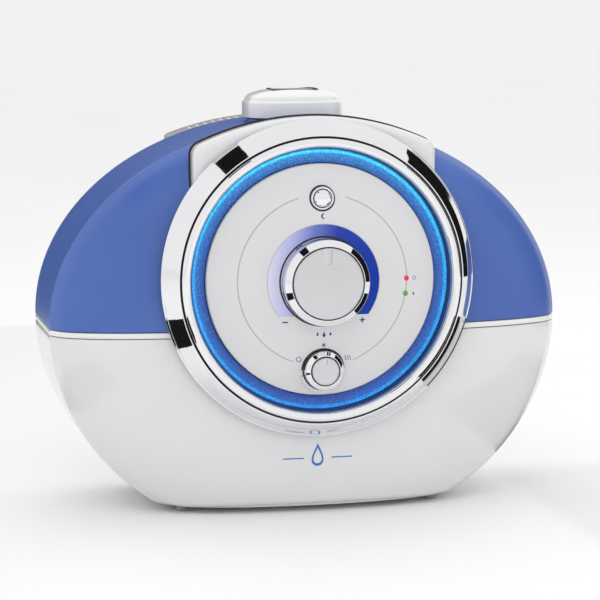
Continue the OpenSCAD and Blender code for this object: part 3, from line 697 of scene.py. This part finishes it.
# ---------------------------------------------------------------- handle
def build_handle():
    back = handle_hi.y
    front = REAR_Y + 0.3 * MM
    thick = 3.5 * MM
    profile = fillet([(front, 0), (back, 0), (back, 20 * MM), (back - thick, 20 * MM),
                      (back - thick, thick), (front, thick)],
                     [0, 2.6 * MM, 1.5 * MM, 1.5 * MM, 2 * MM, 0], 5)
    half = handle_hi.x
    rows = []
    stations = [-half, -half + 0.5 * MM, -half + 1.4 * MM] + \
        [-half + 1.4 * MM + (2 * half - 2.8 * MM) * i / 60 for i in range(1, 60)] + \
        [half - 1.4 * MM, half - 0.5 * MM, half]
    for i, x in enumerate(stations):
        inset = {0: 1.2, 1: 0.35, len(stations) - 2: 0.35, len(stations) - 1: 1.2}.get(i, 0) * MM
        row = []
        for y, depth in profile:
            d = min(max(depth, inset), (20 * MM if y > back - thick - 1e-6 else thick) - inset)
            row.append((x, y - math.copysign(min(inset, 1 * MM), y - (front + back) / 2),
                        SEAM_Z + (TANK_H - d) * math.sqrt(1 - (x / HALF_W) ** 2)))
        rows.append(row)
    strap = grid("handle_strap", rows, cap_ends=True)
    for sign in (-1, 1):
        x0, x1 = sorted((sign * half, sign * (half - thick)))
        cheek_rows = []
        for i in range(5):
            x = x0 + (x1 - x0) * i / 4
            top = SEAM_Z + (TANK_H - 0.6 * MM) * math.sqrt(1 - (x / HALF_W) ** 2)
            outline = fillet([(front, top), (back - 0.8 * MM, top), (back - 0.8 * MM, top - 19 * MM),
                              (back - 7 * MM, top - 23 * MM), (front, top - 23 * MM)],
                             [0, 2 * MM, 3 * MM, 5 * MM, 0], 4)
            cheek_rows.append([(x, y, z) for y, z in outline])
        cut(strap, grid("cheek", cheek_rows, cap_ends=True), operation="UNION")
    cut(strap, tank_solid("tank_outside", -0.15 * MM, TANK_Z))
    dress(strap, MATERIALS["white_gloss"], "tank", "white_gloss", "rear_handle")

    # fine grip ridges across the top of the strap
    ridges = []
    for i in range(-11, 12):
        x = i * 6 * MM
        rows = []
        for dx, rise in ((-0.9, -0.15), (-0.55, 0.28), (0, 0.42), (0.55, 0.28), (0.9, -0.15)):
            px = x + dx * MM
            z = SEAM_Z + TANK_H * math.sqrt(1 - (px / HALF_W) ** 2) + rise * MM
            rows.append([(px, front + (6 + 0.5 * k) * MM if k < 2 else back - (7 - 0.5 * (k - 2)) * MM,
                          z - (0.35 * MM if k in (0, 3) else 0)) for k in range(4)])
        ridges.append(grid(f"ridge_{i}", rows, wrap_cols=False))
    dress(join("handle_ridges", ridges), MATERIALS["white_gloss"], "tank", "white_gloss")


# ---------------------------------------------------------------- nozzle
def nozzle_plan(half_w, half_d, steps=72):
    out = []
    for i in range(steps):
        c, s = math.cos(2 * math.pi * i / steps), math.sin(2 * math.pi * i / steps)
        out.append((half_w * math.copysign(abs(c) ** 0.6, c),
                    half_d * math.copysign(abs(s) ** 0.6, s)))
    return out


def build_nozzle():
    half_w = nozzle_hi.x
    half_d = (nozzle_hi.y - nozzle_lo.y) / 2
    low, top = nozzle_lo.z, nozzle_hi.z
    wall_z = SEAM_Z + TANK_H + 12.6 * MM

    def row(inset, z, share=1.0):
        return [(x, DUCT_Y + y, z) for x, y in
                nozzle_plan((half_w - inset) * share, (half_d - inset) * share)]

    thick = 2.4 * MM
    rows = [row(0.6 * MM, low), row(0.15 * MM, low + 0.2 * MM), row(0, low + 0.7 * MM),
            row(0, wall_z - 1.2 * MM), row(0.15 * MM, wall_z - 0.5 * MM), row(0.6 * MM, wall_z),
            row(1.6 * MM, wall_z + 0.9 * MM)]
    rows += [row(1.6 * MM, wall_z + 0.9 * MM + (top - wall_z - 0.9 * MM) * math.sin(a) ** 0.9,
                 math.cos(a)) for a in (math.radians(12 * k) for k in range(1, 7))]
    rows.append(row(1.6 * MM, top, 0.2))
    roof = top - thick
    inner = [row(1.6 * MM + thick, roof, 0.2)]
    inner += [row(1.6 * MM + thick, wall_z - 1.5 * MM + (roof - wall_z + 1.5 * MM) * math.sin(a),
                  math.cos(a)) for a in (math.radians(12 * k) for k in range(6, 0, -1))]
    inner += [row(thick, wall_z - 2.5 * MM), row(thick, low)]
    bm = bmesh.new()
    lid = len(rows) - 1
    made = weave(bm, rows + inner, wrap_rows=True, skip=lid)
    bm.faces.new(made[lid])
    bm.faces.new(made[lid + 1])
    body = finish_mesh("nozzle_body", bm)

    radius, behind, ahead = 16.6 * MM, 4.4 * MM, 12.3 * MM
    outlet = [(radius * math.cos(math.radians(t)),
               DUCT_Y + behind + radius * math.sin(math.radians(t))) for t in range(0, 181, 6)]
    outlet = fillet(outlet + [(-radius, DUCT_Y - ahead), (radius, DUCT_Y - ahead)],
                    [0] * len(outlet) + [2.5 * MM] * 2, 4)
    cut(body, prism("outlet", outlet, "z", wall_z - 2 * MM, top + 5 * MM))
    # painted light: the nozzle body takes the lighter rim white in place of its own white gloss, so it
    # reads brighter than its shading gives
    dress(body, MATERIALS["rim_white"], "nozzle", "white_gloss", "mist_nozzle")

    def roof_z(x, y):
        """Height of the nozzle's roof over a point of its plan."""
        share = (abs(x / half_w) ** (2 / 0.6) + abs((y - DUCT_Y) / half_d) ** (2 / 0.6)) ** 0.3
        return wall_z + 0.9 * MM + (top - wall_z - 0.9 * MM) * (1 - min(1, share) ** 2) ** 0.45

    # a black ring around the outlet, raised a little above the roof, drawing its dark edge lines; and
    # the louvre bars inside it
    dark_ring_rows = []
    centre = Vector((0, DUCT_Y + 2 * MM))
    for grow, rise in ((-0.1, -3.0), (-0.1, 0.4), (0.25, 0.65), (0.9, 0.6), (1.1, -0.5)):
        ring = []
        for x, y in outlet:
            arm = Vector((x, y)) - centre
            q = centre + arm * (1 + grow * MM / arm.length)
            ring.append((q.x, q.y, roof_z(q.x, q.y) + rise * MM))
        dark_ring_rows.append(ring)
    dress(grid("outlet_dark_ring", dark_ring_rows), MATERIALS["rubber_black"], "nozzle", "white_gloss")
    bars = []
    for i in range(11):
        y = (-10.2 + 2.6 * i) * MM
        half = math.sqrt((15.2 * MM) ** 2 - max(0.0, y - behind) ** 2)
        bars.append(prism(f"bar_{i}", rounded_rect(-half, half, DUCT_Y + y - 0.9 * MM,
                                                   DUCT_Y + y + 0.9 * MM, 0.8 * MM, 3),
                          "z", top - 7 * MM, roof_z(0, DUCT_Y + y) - 0.6 * MM, 0.3 * MM))
    dress(join("outlet_louvre", bars), MATERIALS["white_gloss"], "nozzle", "white_gloss")
    collar = lathe_up("nozzle_collar", fillet([(26.2 * MM, low), (26.2 * MM, low + 13 * MM),
                                               (24.4 * MM, low + 13 * MM), (24.4 * MM, low)],
                                              0.4 * MM), 0, DUCT_Y)
    dress(collar, MATERIALS["white_gloss"], "nozzle", "white_gloss")


# ---------------------------------------------------------------- tower
def tower_outline(inset):
    """The tower's outline from the front as (x, z)."""
    corner, arc = 9 * MM, 196 * MM
    w, top = tower_hi.x, tower_hi.z
    cx, cz = w - corner, top - arc
    rise = math.sqrt((arc - corner) ** 2 - cx ** 2)
    turn = math.degrees(math.atan2(rise, cx))
    radius = corner - inset
    out = [(-w + inset, tower_lo.z), (w - inset, tower_lo.z)]
    out += [(w - inset, tower_lo.z + (cz + rise - tower_lo.z) * i / 12) for i in range(1, 12)]
    for i in range(11):
        t = math.radians(turn * i / 10)
        out.append((cx + radius * math.cos(t), cz + rise + radius * math.sin(t)))
    for i in range(1, 48):
        t = math.radians(turn + (180 - 2 * turn) * i / 48)
        out.append(((arc - inset) * math.cos(t), cz + (arc - inset) * math.sin(t)))
    for i in range(11):
        t = math.radians(180 - turn + turn * i / 10)
        out.append((-cx + radius * math.cos(t), cz + rise + radius * math.sin(t)))
    out += [(-w + inset, cz + rise - (cz + rise - tower_lo.z) * i / 12) for i in range(1, 12)]
    return out


def build_tower():
    front = FRONT_Y - tower_lo.y
    ease = 6 * MM
    levels = [(front - 2.6 * MM, 2.7), (TOWER_REAR + 0.1 * MM, 2.7), (TOWER_REAR, 2.2),
              (TOWER_REAR, 1.2), (TOWER_REAR + 0.35 * MM, 0.4), (TOWER_REAR + 1.2 * MM, 0)]
    for step in range(0, 8):
        a = math.radians(90 * step / 7)
        levels.append((front - ease + ease * math.sin(a), 6 * (1 - math.cos(a))))

    def tower_rows(stations):
        return [[(x, FRONT_Y - ahead, z) for x, z in tower_outline(inset * MM)]
                for ahead, inset in stations]

    tower = grid("tower_shell", tower_rows(levels), cap_ends=True)
    dress(tower, MATERIALS["white_gloss"], "root", "white_gloss", "control_tower")
    # painted shade: a black strip behind the tower's rim stands for the shadow in the gap between the
    # tower and the tank
    shadow_levels = [(TOWER_REAR - behind * MM, inset) for behind, inset in
            ((2.0, 0.2), (1.8, -1.0), (0.5, -1.15), (0.15, -0.8), (0.15, 4), (2.0, 4))]
    strip = grid("tower_shadow_strip", tower_rows(shadow_levels), wrap_rows=True)
    dress(strip, MATERIALS["black_painted_shade"], "root", "rubber_black")


# ---------------------------------------------------------------- pod
def mm(points):
    return [(r * MM, h * MM) for r, h in points]


def face_at(r):
    """The faceplate's front at distance r from the pod's centre."""
    return FACE_H - DOME_R + math.sqrt(DOME_R ** 2 - r * r)


def build_bezel():
    bead = fillet(mm([(92.75, 40.4), (92.75, 56.6), (93.8, 59.0), (96.4, 59.9), (98.9, 58.9),
                      (99.7, 56.6), (98.4, 54.6), (95, 54.6), (95, 40.4)]),
                  [0, 1.5 * MM, 1.5 * MM, 1.8 * MM, 1.5 * MM, 1 * MM, 0, 0, 0], 5)
    dress(lathe("bezel_ring", bead, steps=256), MATERIALS["chrome"], "root", "chrome",
          "bezel_bead")
    skirt = fillet(mm([(100.6, 55.2), (100.6, 57.0), (101.3, 57.2), (105.8, 52.2), (110.4, 45.6),
                       (110.9, 44.7), (111.95, 44.2), (112.0, 42.4), (111.5, 40.5), (109.8, 40.5),
                       (109.4, 43.0), (104.6, 50.2)]),
                   [0.3 * MM, 0.4 * MM, 0.6 * MM, 2 * MM, 0.3 * MM, 0.3 * MM, 0.5 * MM, 0.5 * MM,
                    0.5 * MM, 0.3 * MM, 0.3 * MM, 2 * MM], 4)
    dress(lathe("bezel_skirt", crisp(skirt), steps=256), MATERIALS["chrome"], "root", "chrome",
          "chrome_bezel")
    # painted shade: a black ring fills the groove between the bead and the skirt, standing for the
    # shadow in it
    groove = mm([(98.0, 52.0), (98.0, 54.9), (101.2, 55.6), (102.2, 52.0)])
    dress(lathe("bezel_groove", groove, steps=160), MATERIALS["black_painted_shade"], "root", "chrome")


def build_light_ring():
    generator = random.Random(7)
    steps, across = 720, 9
    rows = []
    inner, outer = 82.1, 90.0
    for k in range(across + 1):
        share = k / across
        r = inner + (outer - inner) * share
        h = 48.0 + 1.0 * math.sin(math.pi * (0.15 + 0.6 * share))
        loose = 0.16 if 0 < k < across else 0.0
        row = []
        for i in range(steps):
            t = 2 * math.pi * (i + 0.5 * (k % 2)) / steps
            painted_top_light = (h + generator.uniform(-loose, loose)) * MM
            row.append((r * MM * math.cos(t), FRONT_Y - painted_top_light, POD_Z + r * MM * math.sin(t)))
        rows.append(row)

    def wall_row(r, h):
        return [(x, FRONT_Y - h * MM, z) for x, z in circle(0, POD_Z, r * MM, steps)]

    rows = [wall_row(inner, 44.6), wall_row(inner, 46.5), *rows, wall_row(outer, 44.6)]
    prisms = grid("light_ring_prisms", rows, wrap_rows=True, smooth=False)
    dress(prisms, MATERIALS["light_blue"], "root", "light_blue", "light_ring")
    bead = fillet(mm([(90.1, 44.6), (90.1, 49.0), (90.5, 49.8), (91.3, 49.8), (91.7, 49.0),
                      (91.7, 44.6)]), [0, 0.3 * MM, 0.4 * MM, 0.4 * MM, 0.3 * MM, 0], 3)
    dress(lathe("light_ring_bead", bead, steps=256), MATERIALS["light_blue"], "root", "light_blue")
    # painted reflection: a navy wall between the light ring and the chrome bead stands for the ring's
    # reflection in the chrome
    wall = fillet(mm([(91.75, 44.6), (91.75, 51.6), (92.1, 52.4), (92.65, 52.4), (92.7, 44.6)]),
                  [0, 0.2 * MM, 0.2 * MM, 0.2 * MM, 0], 3)
    dress(lathe("light_ring_wall", wall, steps=256), MATERIALS["navy_painted_reflection"], "root", "light_blue")


def build_faceplate():
    profile = [(0.0, face_at(0))]
    profile += [(r * MM, face_at(r * MM)) for r in range(4, 80, 3)]
    rim = face_at(80.2 * MM)
    profile += [(80.2 * MM, rim), (80.9 * MM, rim - 0.25 * MM), (81.35 * MM, rim - 0.9 * MM),
                (FACE_R, rim - 1.8 * MM), (FACE_R, rim - 3.4 * MM), (79 * MM, rim - 3.2 * MM),
                (40 * MM, face_at(40 * MM) - 2.6 * MM), (0.0, FACE_H - 2.6 * MM)]
    plate = lathe("face_dome", profile, steps=192, closed=False)
    well = lathe("well", [(0, 0.052), (14.75 * MM, 0.052), (14.75 * MM, 0.07), (0, 0.07)],
                 z=MODE_Z, steps=96, closed=False)
    pocket = lathe("cup", [(0, 0.0495), (16.6 * MM, 0.0495), (16.6 * MM, 0.0555), (0, 0.0555)],
                   z=MODE_Z, steps=96, closed=False)
    cut(plate, pocket, operation="UNION")
    lamp = lathe("lamp_hole", [(0, 0.045), (8.35 * MM, 0.045), (8.35 * MM, 0.07), (0, 0.07)],
                 z=LAMP_Z, steps=64, closed=False)
    cut(plate, well, lamp)
    dress(plate, MATERIALS["white_matte"], "root", "white_matte", "faceplate")


def face_point(x, z, painted_top_light=0.07):
    """A point printed on the faceplate, x and z from the pod's centre, in millimetres."""
    r = math.hypot(x, z) * MM
    return (x * MM, FRONT_Y - face_at(r) - painted_top_light * MM, POD_Z + z * MM)


def print_patch(name, outline, material, painted_top_light=0.07, body="root", slot="white_matte"):
    """A printed mark or a painted shadow: a thin sheet on the faceplate between matching inner and
    outer points.
    """
    rows = [[face_point(x, z, painted_top_light) for x, z in row] for row in outline]
    sheet = grid(name, rows, wrap_cols=False)
    return dress(sheet, material, body, slot)


def band(radius, width, start, end, steps=48, cx=0.0, cz=0.0):
    """Rows of a ring-shaped band from one heading to another, in degrees."""
    headings = [math.radians(start + (end - start) * i / steps) for i in range(steps + 1)]
    return [[(cx + r * math.cos(t), cz + r * math.sin(t)) for t in headings]
            for r in (radius - width / 2, radius, radius + width / 2)]


def stroke(x0, z0, x1, z1, width):
    """Rows of a straight printed stroke."""
    along = Vector((x1 - x0, z1 - z0))
    across = Vector((-along.y, along.x)).normalized() * width / 2
    steps = 4
    rows = []
    for side in (-1, 0, 1):
        rows.append([(x0 + along.x * i / steps + across.x * side,
                      z0 + along.y * i / steps + across.y * side) for i in range(steps + 1)])
    return rows


def build_prints():
    """Marks on the faceplate, in millimetres from the pod's centre."""
    grey, navy = MATERIALS["print_grey"], MATERIALS["print_navy"]
    lamp, mode = (LAMP_Z - POD_Z) / MM, (MODE_Z - POD_Z) / MM
    top_gap = math.degrees(math.acos(16.7 / 60.3))
    low_gap = -math.degrees(math.acos(21.4 / 60.3))
    print_patch("print_arc_right", band(60.3, 0.75, low_gap, top_gap, 64), grey)
    print_patch("print_arc_left", band(60.3, 0.75, 180 - top_gap, 180 - low_gap, 64), grey)

    # humidity scale: a broad crescent cut level at both lower ends
    inner, outer, level = 29.0, 39.7, -24.0
    rows = []
    for k in range(7):
        r = inner + (outer - inner) * k / 6
        dip = math.degrees(math.asin(min(1.0, -level / r)))
        rows.append(band(r, 0.0, 180 + dip, -dip, 96)[1])
    print_patch("print_scale", rows, MATERIALS["print_scale"])
    print_patch("print_scale_edge", band(40.0, 0.35, -37.5, 217.5, 96), grey, 0.06)

    print_patch("print_minus", stroke(-29.5, -28, -25.5, -28, 0.9), navy)
    print_patch("print_plus_level", stroke(25.5, -28, 29.5, -28, 0.9), navy, 0.08)
    print_patch("print_plus_upright", stroke(27.5, -30, 27.5, -26, 0.9), navy)

    # plain pictograms in place of the words
    moon_outer = band(1.9, 0.0, 70, 290, 24, 0.6, lamp - 12.4)[1]
    moon_inner = band(1.55, 0.0, 82, 278, 24, 1.35, lamp - 12.4)[1]
    print_patch("print_moon_0", [moon_outer, moon_inner], navy)
    drop_marks(0.0, -37.2, 1.0, "print_drop_middle", navy)
    drop_marks(-4.6, -36.8, 0.7, "print_drop_left", navy)
    drop_marks(4.6, -36.8, 0.7, "print_drop_right", navy)
    for i, degrees in enumerate((30, 90, 150)):
        dx, dz = 1.9 * math.cos(math.radians(degrees)), 1.9 * math.sin(math.radians(degrees))
        print_patch(f"print_flake_{i}",
                    stroke(dx, mode + 17.8 + dz, -dx, mode + 17.8 - dz, 0.42), navy, 0.07 + 0.01 * i)
    print_patch("print_off", band(1.7, 0.45, 0, 360, 32, -17.5, mode + 8.0), navy)
    for i, x in enumerate((15.9, 17.6, 19.3)):
        wave = [[(x + side + 0.45 * math.sin(2 * math.pi * s / 14), mode + 6.2 + 0.26 * s)
                 for s in range(15)] for side in (-0.24, 0.24)]
        print_patch(f"print_wave_{i}", wave, navy)
    print_patch("print_power_mark", band(1.2, 0.35, 120, 420, 24, 66.2, 0.0), navy)
    print_patch("print_power_bar", stroke(66.2, 0.4, 66.2, 1.9, 0.35), navy, 0.08)
    drop_marks(65.6, -10.9, 0.6, "print_low_drop", navy)


def drop_outline(cx, cz, size, grow=0.0, steps=32):
    """A water drop: a round foot drawn up to a point."""
    out = []
    for i in range(steps + 1):
        t = 2 * math.pi * i / steps
        r = (1.5 + grow) * size
        pinch = math.sin(t / 2) ** 1.6
        out.append((cx + r * math.sin(t) * pinch, cz + r * math.cos(t) * 1.35))
    return out


def drop_marks(cx, cz, size, name, material):
    edge = drop_outline(cx, cz, size)
    centre = [(cx, cz - 0.2 * size)] * len(edge)
    print_patch(name, [centre, edge], material)


def build_emblem():
    """A plain drop between two strokes on the base's front."""
    cz = 44.0

    def surface(x, z, painted_top_light=0.06):
        rho = math.hypot(x * MM / HALF_W, (z * MM - SEAM_Z) / LOW_H)
        return (x * MM, FRONT_Y - BULGE_FRONT * dome(rho) - painted_top_light * MM, z * MM)

    def patch(name, rows, material):
        sheet = grid(name, [[surface(x, z) for x, z in row] for row in rows], wrap_cols=False)
        dress(sheet, material, "root", "white_gloss")

    for name, sign in (("left", -1), ("right", 1)):
        patch(f"emblem_stroke_{name}", stroke(sign * 10, cz - 3, sign * 25, cz - 3, 0.9),
              MATERIALS["print_blue"])
    edge = drop_outline(0, cz - 0.5, 4.2, steps=64)
    inner = drop_outline(0, cz - 1.2, 2.9, steps=64)
    patch("emblem_drop", [edge, inner], MATERIALS["print_blue"])


# ---------------------------------------------------------------- controls
def turned(name, profile, z, material, body, slot, nodes=(), steps=128, **options):
    return dress(lathe(name, profile, z=z, steps=steps, **options), material, body, slot, *nodes)


def build_knob(name, z, radius, face_r, low, high, slot_w, slot_in, body, node_face, node_ring):
    """A satin face with a pointer slot in a flared chrome ring."""
    face = lathe(f"{name}_face", fillet(
        [(0, high), (face_r - 1.6 * MM, high - 0.12 * MM), (face_r - 0.2 * MM, high - 0.9 * MM),
         (face_r, high - 3.6 * MM), (0, high - 3.6 * MM)],
        [0, 1.0 * MM, 0.6 * MM, 0, 0], 5, closed=False), z=z, steps=192, closed=False)
    half = slot_w / 2
    outline = [(half, z + slot_in), (half, z + face_r + 2 * MM), (-half, z + face_r + 2 * MM),
               (-half, z + slot_in)]
    outline += [(-half * math.cos(math.radians(15 * k)), z + slot_in - half *
                 math.sin(math.radians(15 * k))) for k in range(1, 12)]
    cut(face, prism("slot", outline, "y", FRONT_Y - high - 3 * MM, FRONT_Y - high + 0.75 * MM))
    dress(face, MATERIALS["knob_silver"], body, "knob_silver", node_face)

    # bright lining of the pointer slot
    path = [(half, z + face_r - 1.6 * MM)]
    path += [(half * math.cos(math.radians(t)), z + slot_in + half * math.sin(math.radians(t)))
             for t in range(0, -181, -15)]
    path.append((-half, z + face_r - 1.6 * MM))
    lining = []
    for grow, rise in ((0.0, -0.7), (0.0, 0.0), (0.25, 0.07), (0.5, -0.1)):
        scale = 1 + grow * MM / half
        lining.append([(x * scale, FRONT_Y - high + (0.1 - rise) * MM,
                        y if y > z + slot_in else z + slot_in + (y - z - slot_in) * scale)
                       for x, y in path])
    dress(grid(f"{name}_pointer", lining, wrap_cols=False), MATERIALS["chrome"], body, "knob_silver")
    brow = (face_r + 1.0 * MM, high - 1.6 * MM)          # the chamfer's inner end
    shoulder = (radius - 0.3 * MM, brow[1] - 0.9 * (radius - 0.3 * MM - brow[0]))
    ring = fillet([(radius - 2.0 * MM, low), (radius, low), (radius, low + 0.8 * MM),
                   (radius - 0.45 * MM, low + 1.3 * MM), (radius - 0.45 * MM, low + 1.9 * MM),
                   (radius - 0.05 * MM, low + 2.4 * MM), shoulder, brow,
                   (face_r + 0.55 * MM, brow[1] - 0.2 * MM), (face_r + 0.5 * MM, high - 4.2 * MM),
                   (face_r - 0.5 * MM, high - 4.2 * MM), (radius - 2.6 * MM, shoulder[1] - 2 * MM)],
                  [0.2 * MM, 0.3 * MM, 0.2 * MM, 0.1 * MM, 0.1 * MM, 0.2 * MM, 0.5 * MM, 0.3 * MM,
                   0.2 * MM, 0, 0, 0], 4)
    turned(f"{name}_ring", crisp(ring), z, MATERIALS["chrome"], body, "chrome", (node_ring,),
           steps=192)
    # painted shade: a black sleeve fills the gap between the face and the ring, standing for the
    # shadow in it
    gap = [(face_r + 0.02 * MM, high - 4.1 * MM), (face_r + 0.02 * MM, high - 1.7 * MM),
           (face_r + 0.45 * MM, high - 1.7 * MM), (face_r + 0.45 * MM, high - 4.1 * MM)]
    turned(f"{name}_gap", gap, z, MATERIALS["black_painted_shade"], body, "chrome", steps=192)


def build_controls():
    # painted shadow: flat black rings on the faceplate around the knob, the mode knob and the lamp
    # button stand for the shade in the gaps around them
    for name, radius, width, centre in (("knob", 31.2, 1.1, POD_Z), ("mode", 15.0, 0.9, MODE_Z),
                                        ("lamp", 8.75, 0.8, LAMP_Z)):
        height = (centre - POD_Z) / MM
        print_patch(f"{name}_painted_shadow_ring", band(radius, width, 0, 360, 96, 0, height),
                    MATERIALS["black_painted_shade"], 0.12)
    build_knob("knob", POD_Z, 30.5 * MM, 25 * MM, 61.6 * MM, KNOB_H, 4.4 * MM, 15.7 * MM,
               "humidity_knob", "humidity_knob", "humidity_knob_ring")
    build_knob("mode", MODE_Z, mode_hi.x, 9.9 * MM, 52.4 * MM, 67 * MM, 2 * MM, 6 * MM,
               "mode_knob", "mode_knob", "mode_knob_ring")
    turned("lamp_ring", fillet(mm([(6.6, 51), (8.2, 51), (8.2, 58.0), (7.7, 58.8), (7.0, 58.8),
                                   (6.6, 58.2)]), [0, 0, 0.5 * MM, 0.4 * MM, 0.3 * MM, 0.3 * MM], 4),
           LAMP_Z, MATERIALS["chrome"], "root", "chrome", ("lamp_button_ring",))
    turned("lamp_push", mm([(0, 61.0), (1.5, 60.95), (3.0, 60.75), (4.4, 60.35), (5.4, 59.8),
                            (6.0, 59.1), (6.2, 58.3), (6.2, 55.4), (1.5, 55.4), (1.5, 52.6),
                            (0, 52.6)]),
           LAMP_Z, MATERIALS["chrome"], "lamp_button", "knob_silver", ("lamp_button",),
           closed=False)
    for name, x, z, material in (("power_indicator", 60, POD_Z, "lamp_red"),
                                 ("no_water_indicator", 59.3, POD_Z - 10.7 * MM, "lamp_green")):
        bead = mm([(0, 57.2), (0.8, 57.1), (1.5, 56.8), (1.9, 56.4), (2.0, 55.8), (2.0, 52), (0, 52)])
        dress(lathe(f"{name}_lens", bead, x=x * MM, z=z, steps=48, closed=False),
              MATERIALS[material], "root", material, name)


# ---------------------------------------------------------------- stage
SQUARE = ((-1, -1), (1, -1), (1, 1), (-1, 1))


def area(name, location, target, size, power, color=(1, 1, 1)):
    light = bpy.data.lights.new(name, "AREA")
    light.shape = "RECTANGLE"
    light.size, light.size_y = size
    light.energy = power
    light.color = color
    lamp = bpy.data.objects.new(name, light)
    lamp.location = location
    lamp.rotation_euler = (Vector(target) - Vector(location)).to_track_quat("-Z", "Y").to_euler()
    lamp.visible_glossy = False
    bpy.context.scene.collection.objects.link(lamp)


def stage_sheet(name, corners, material):
    """A flat four-cornered sheet that belongs to the stage."""
    bm = bmesh.new()
    bm.faces.new([bm.verts.new(p) for p in corners])
    mesh = bpy.data.meshes.new(name)
    bm.to_mesh(mesh)
    bm.free()
    sheet = new_object(name, mesh)
    sheet.data.materials.append(material)
    return sheet


def stage_card(name, start, heading, distance, across, along, shade):
    """A dark card that shows only in reflections, seen from a point along a heading."""
    heading = Vector(heading).normalized()
    side = heading.cross(Vector((0, 1, 0)) if abs(heading.y) < 0.2 else Vector((0, 0, 1)))
    side.normalize()
    up = side.cross(heading)
    centre = Vector(start) + heading * distance
    material = shader(name, (shade, shade, shade), 0.9, Specular_IOR_Level=0)[0]
    card = stage_sheet(name, [centre + side * sx * across / 2 + up * sy * along / 2
                              for sx, sy in SQUARE], material)
    card.visible_camera = False
    card.visible_diffuse = False
    card.visible_transmission = False
    card.visible_shadow = False


def build_stage():
    reach = 60
    material, tree, principled = shader("floor_pale", (0.92, 0.92, 0.92), 0.6)
    tree.links.new(ramp(tree, noise(tree, 3, 2), (0.3, (0.91, 0.91, 0.91)), (0.7, (0.93, 0.93, 0.93))),
                   principled.inputs["Base Color"])
    stage_sheet("floor", [(x * reach, y * reach, 0) for x, y in SQUARE], material)

    world = bpy.data.worlds.new("studio")
    world.use_nodes = True
    world.node_tree.nodes["Background"].inputs["Color"].default_value = (1, 1, 1, 1)
    world.node_tree.nodes["Background"].inputs["Strength"].default_value = 0.95
    bpy.context.scene.world = world
    bpy.context.scene.view_settings.view_transform = "Standard"
    middle = (0, 0, 0.15)
    area("key", (-0.7, -1.6, 1.9), middle, (1.2, 1.2), 6)
    area("fill", (1.5, -1.3, 0.9), middle, (1.0, 1.4), 2)
    area("top", (0.1, 0.5, 1.9), middle, (1.6, 1.2), 6)
    # dark cards in reflections: upper left, right, low on both sides, and behind
    stage_card("card_upper_left", (-0.05, -0.09, 0.25), (-0.5, -0.12, 0.85), 3, 0.75, 2.6, 0.01)
    stage_card("card_right", (0.08, -0.09, 0.2), (1, 0.13, 0.3), 1.1, 1.0, 0.95, 0.01)
    stage_card("card_low_left", (-0.34, -0.13, 0.1), (0, 0, -1), 0.09, 0.17, 0.4, 0.01)
    stage_card("card_low_right", (0.32, -0.07, 0.1), (0, 0, -1), 0.09, 0.3, 0.32, 0.01)
    stage_card("card_behind", (-0.3, 0.1, 0.3), (0, 1, 0.03), 0.9, 1.1, 0.64, 0.03)


def build_camera():
    """A view from the left of centre, slightly above, through a long lens."""
    azimuth, elevation, roll = math.radians(11.77), math.radians(7.19), math.radians(0.41)
    ahead = Vector((math.sin(azimuth) * math.cos(elevation),
                    math.cos(azimuth) * math.cos(elevation), -math.sin(elevation)))
    right = Vector((math.cos(azimuth), -math.sin(azimuth), 0))
    up = right.cross(ahead)
    turned_right = right * math.cos(roll) - up * math.sin(roll)
    turned_up = right * math.sin(roll) + up * math.cos(roll)
    data = bpy.data.cameras.new("view")
    data.lens = 156
    data.sensor_width = 36
    camera = bpy.data.objects.new("view", data)
    turn = Matrix((turned_right, turned_up, -ahead)).transposed()
    place = Vector((-382.5 * MM, FRONT_Y - 1814.5 * MM, 383.5 * MM))
    camera.matrix_world = Matrix.Translation(place) @ turn.to_4x4()
    bpy.context.scene.collection.objects.link(camera)
    bpy.context.scene.camera = camera


skin_cad_nodes()
build_camera()
build_base()
build_basin()
build_tank()
build_handle()
build_nozzle()
build_tower()
build_bezel()
build_light_ring()
build_faceplate()
build_prints()
build_emblem()
build_controls()
build_stage()
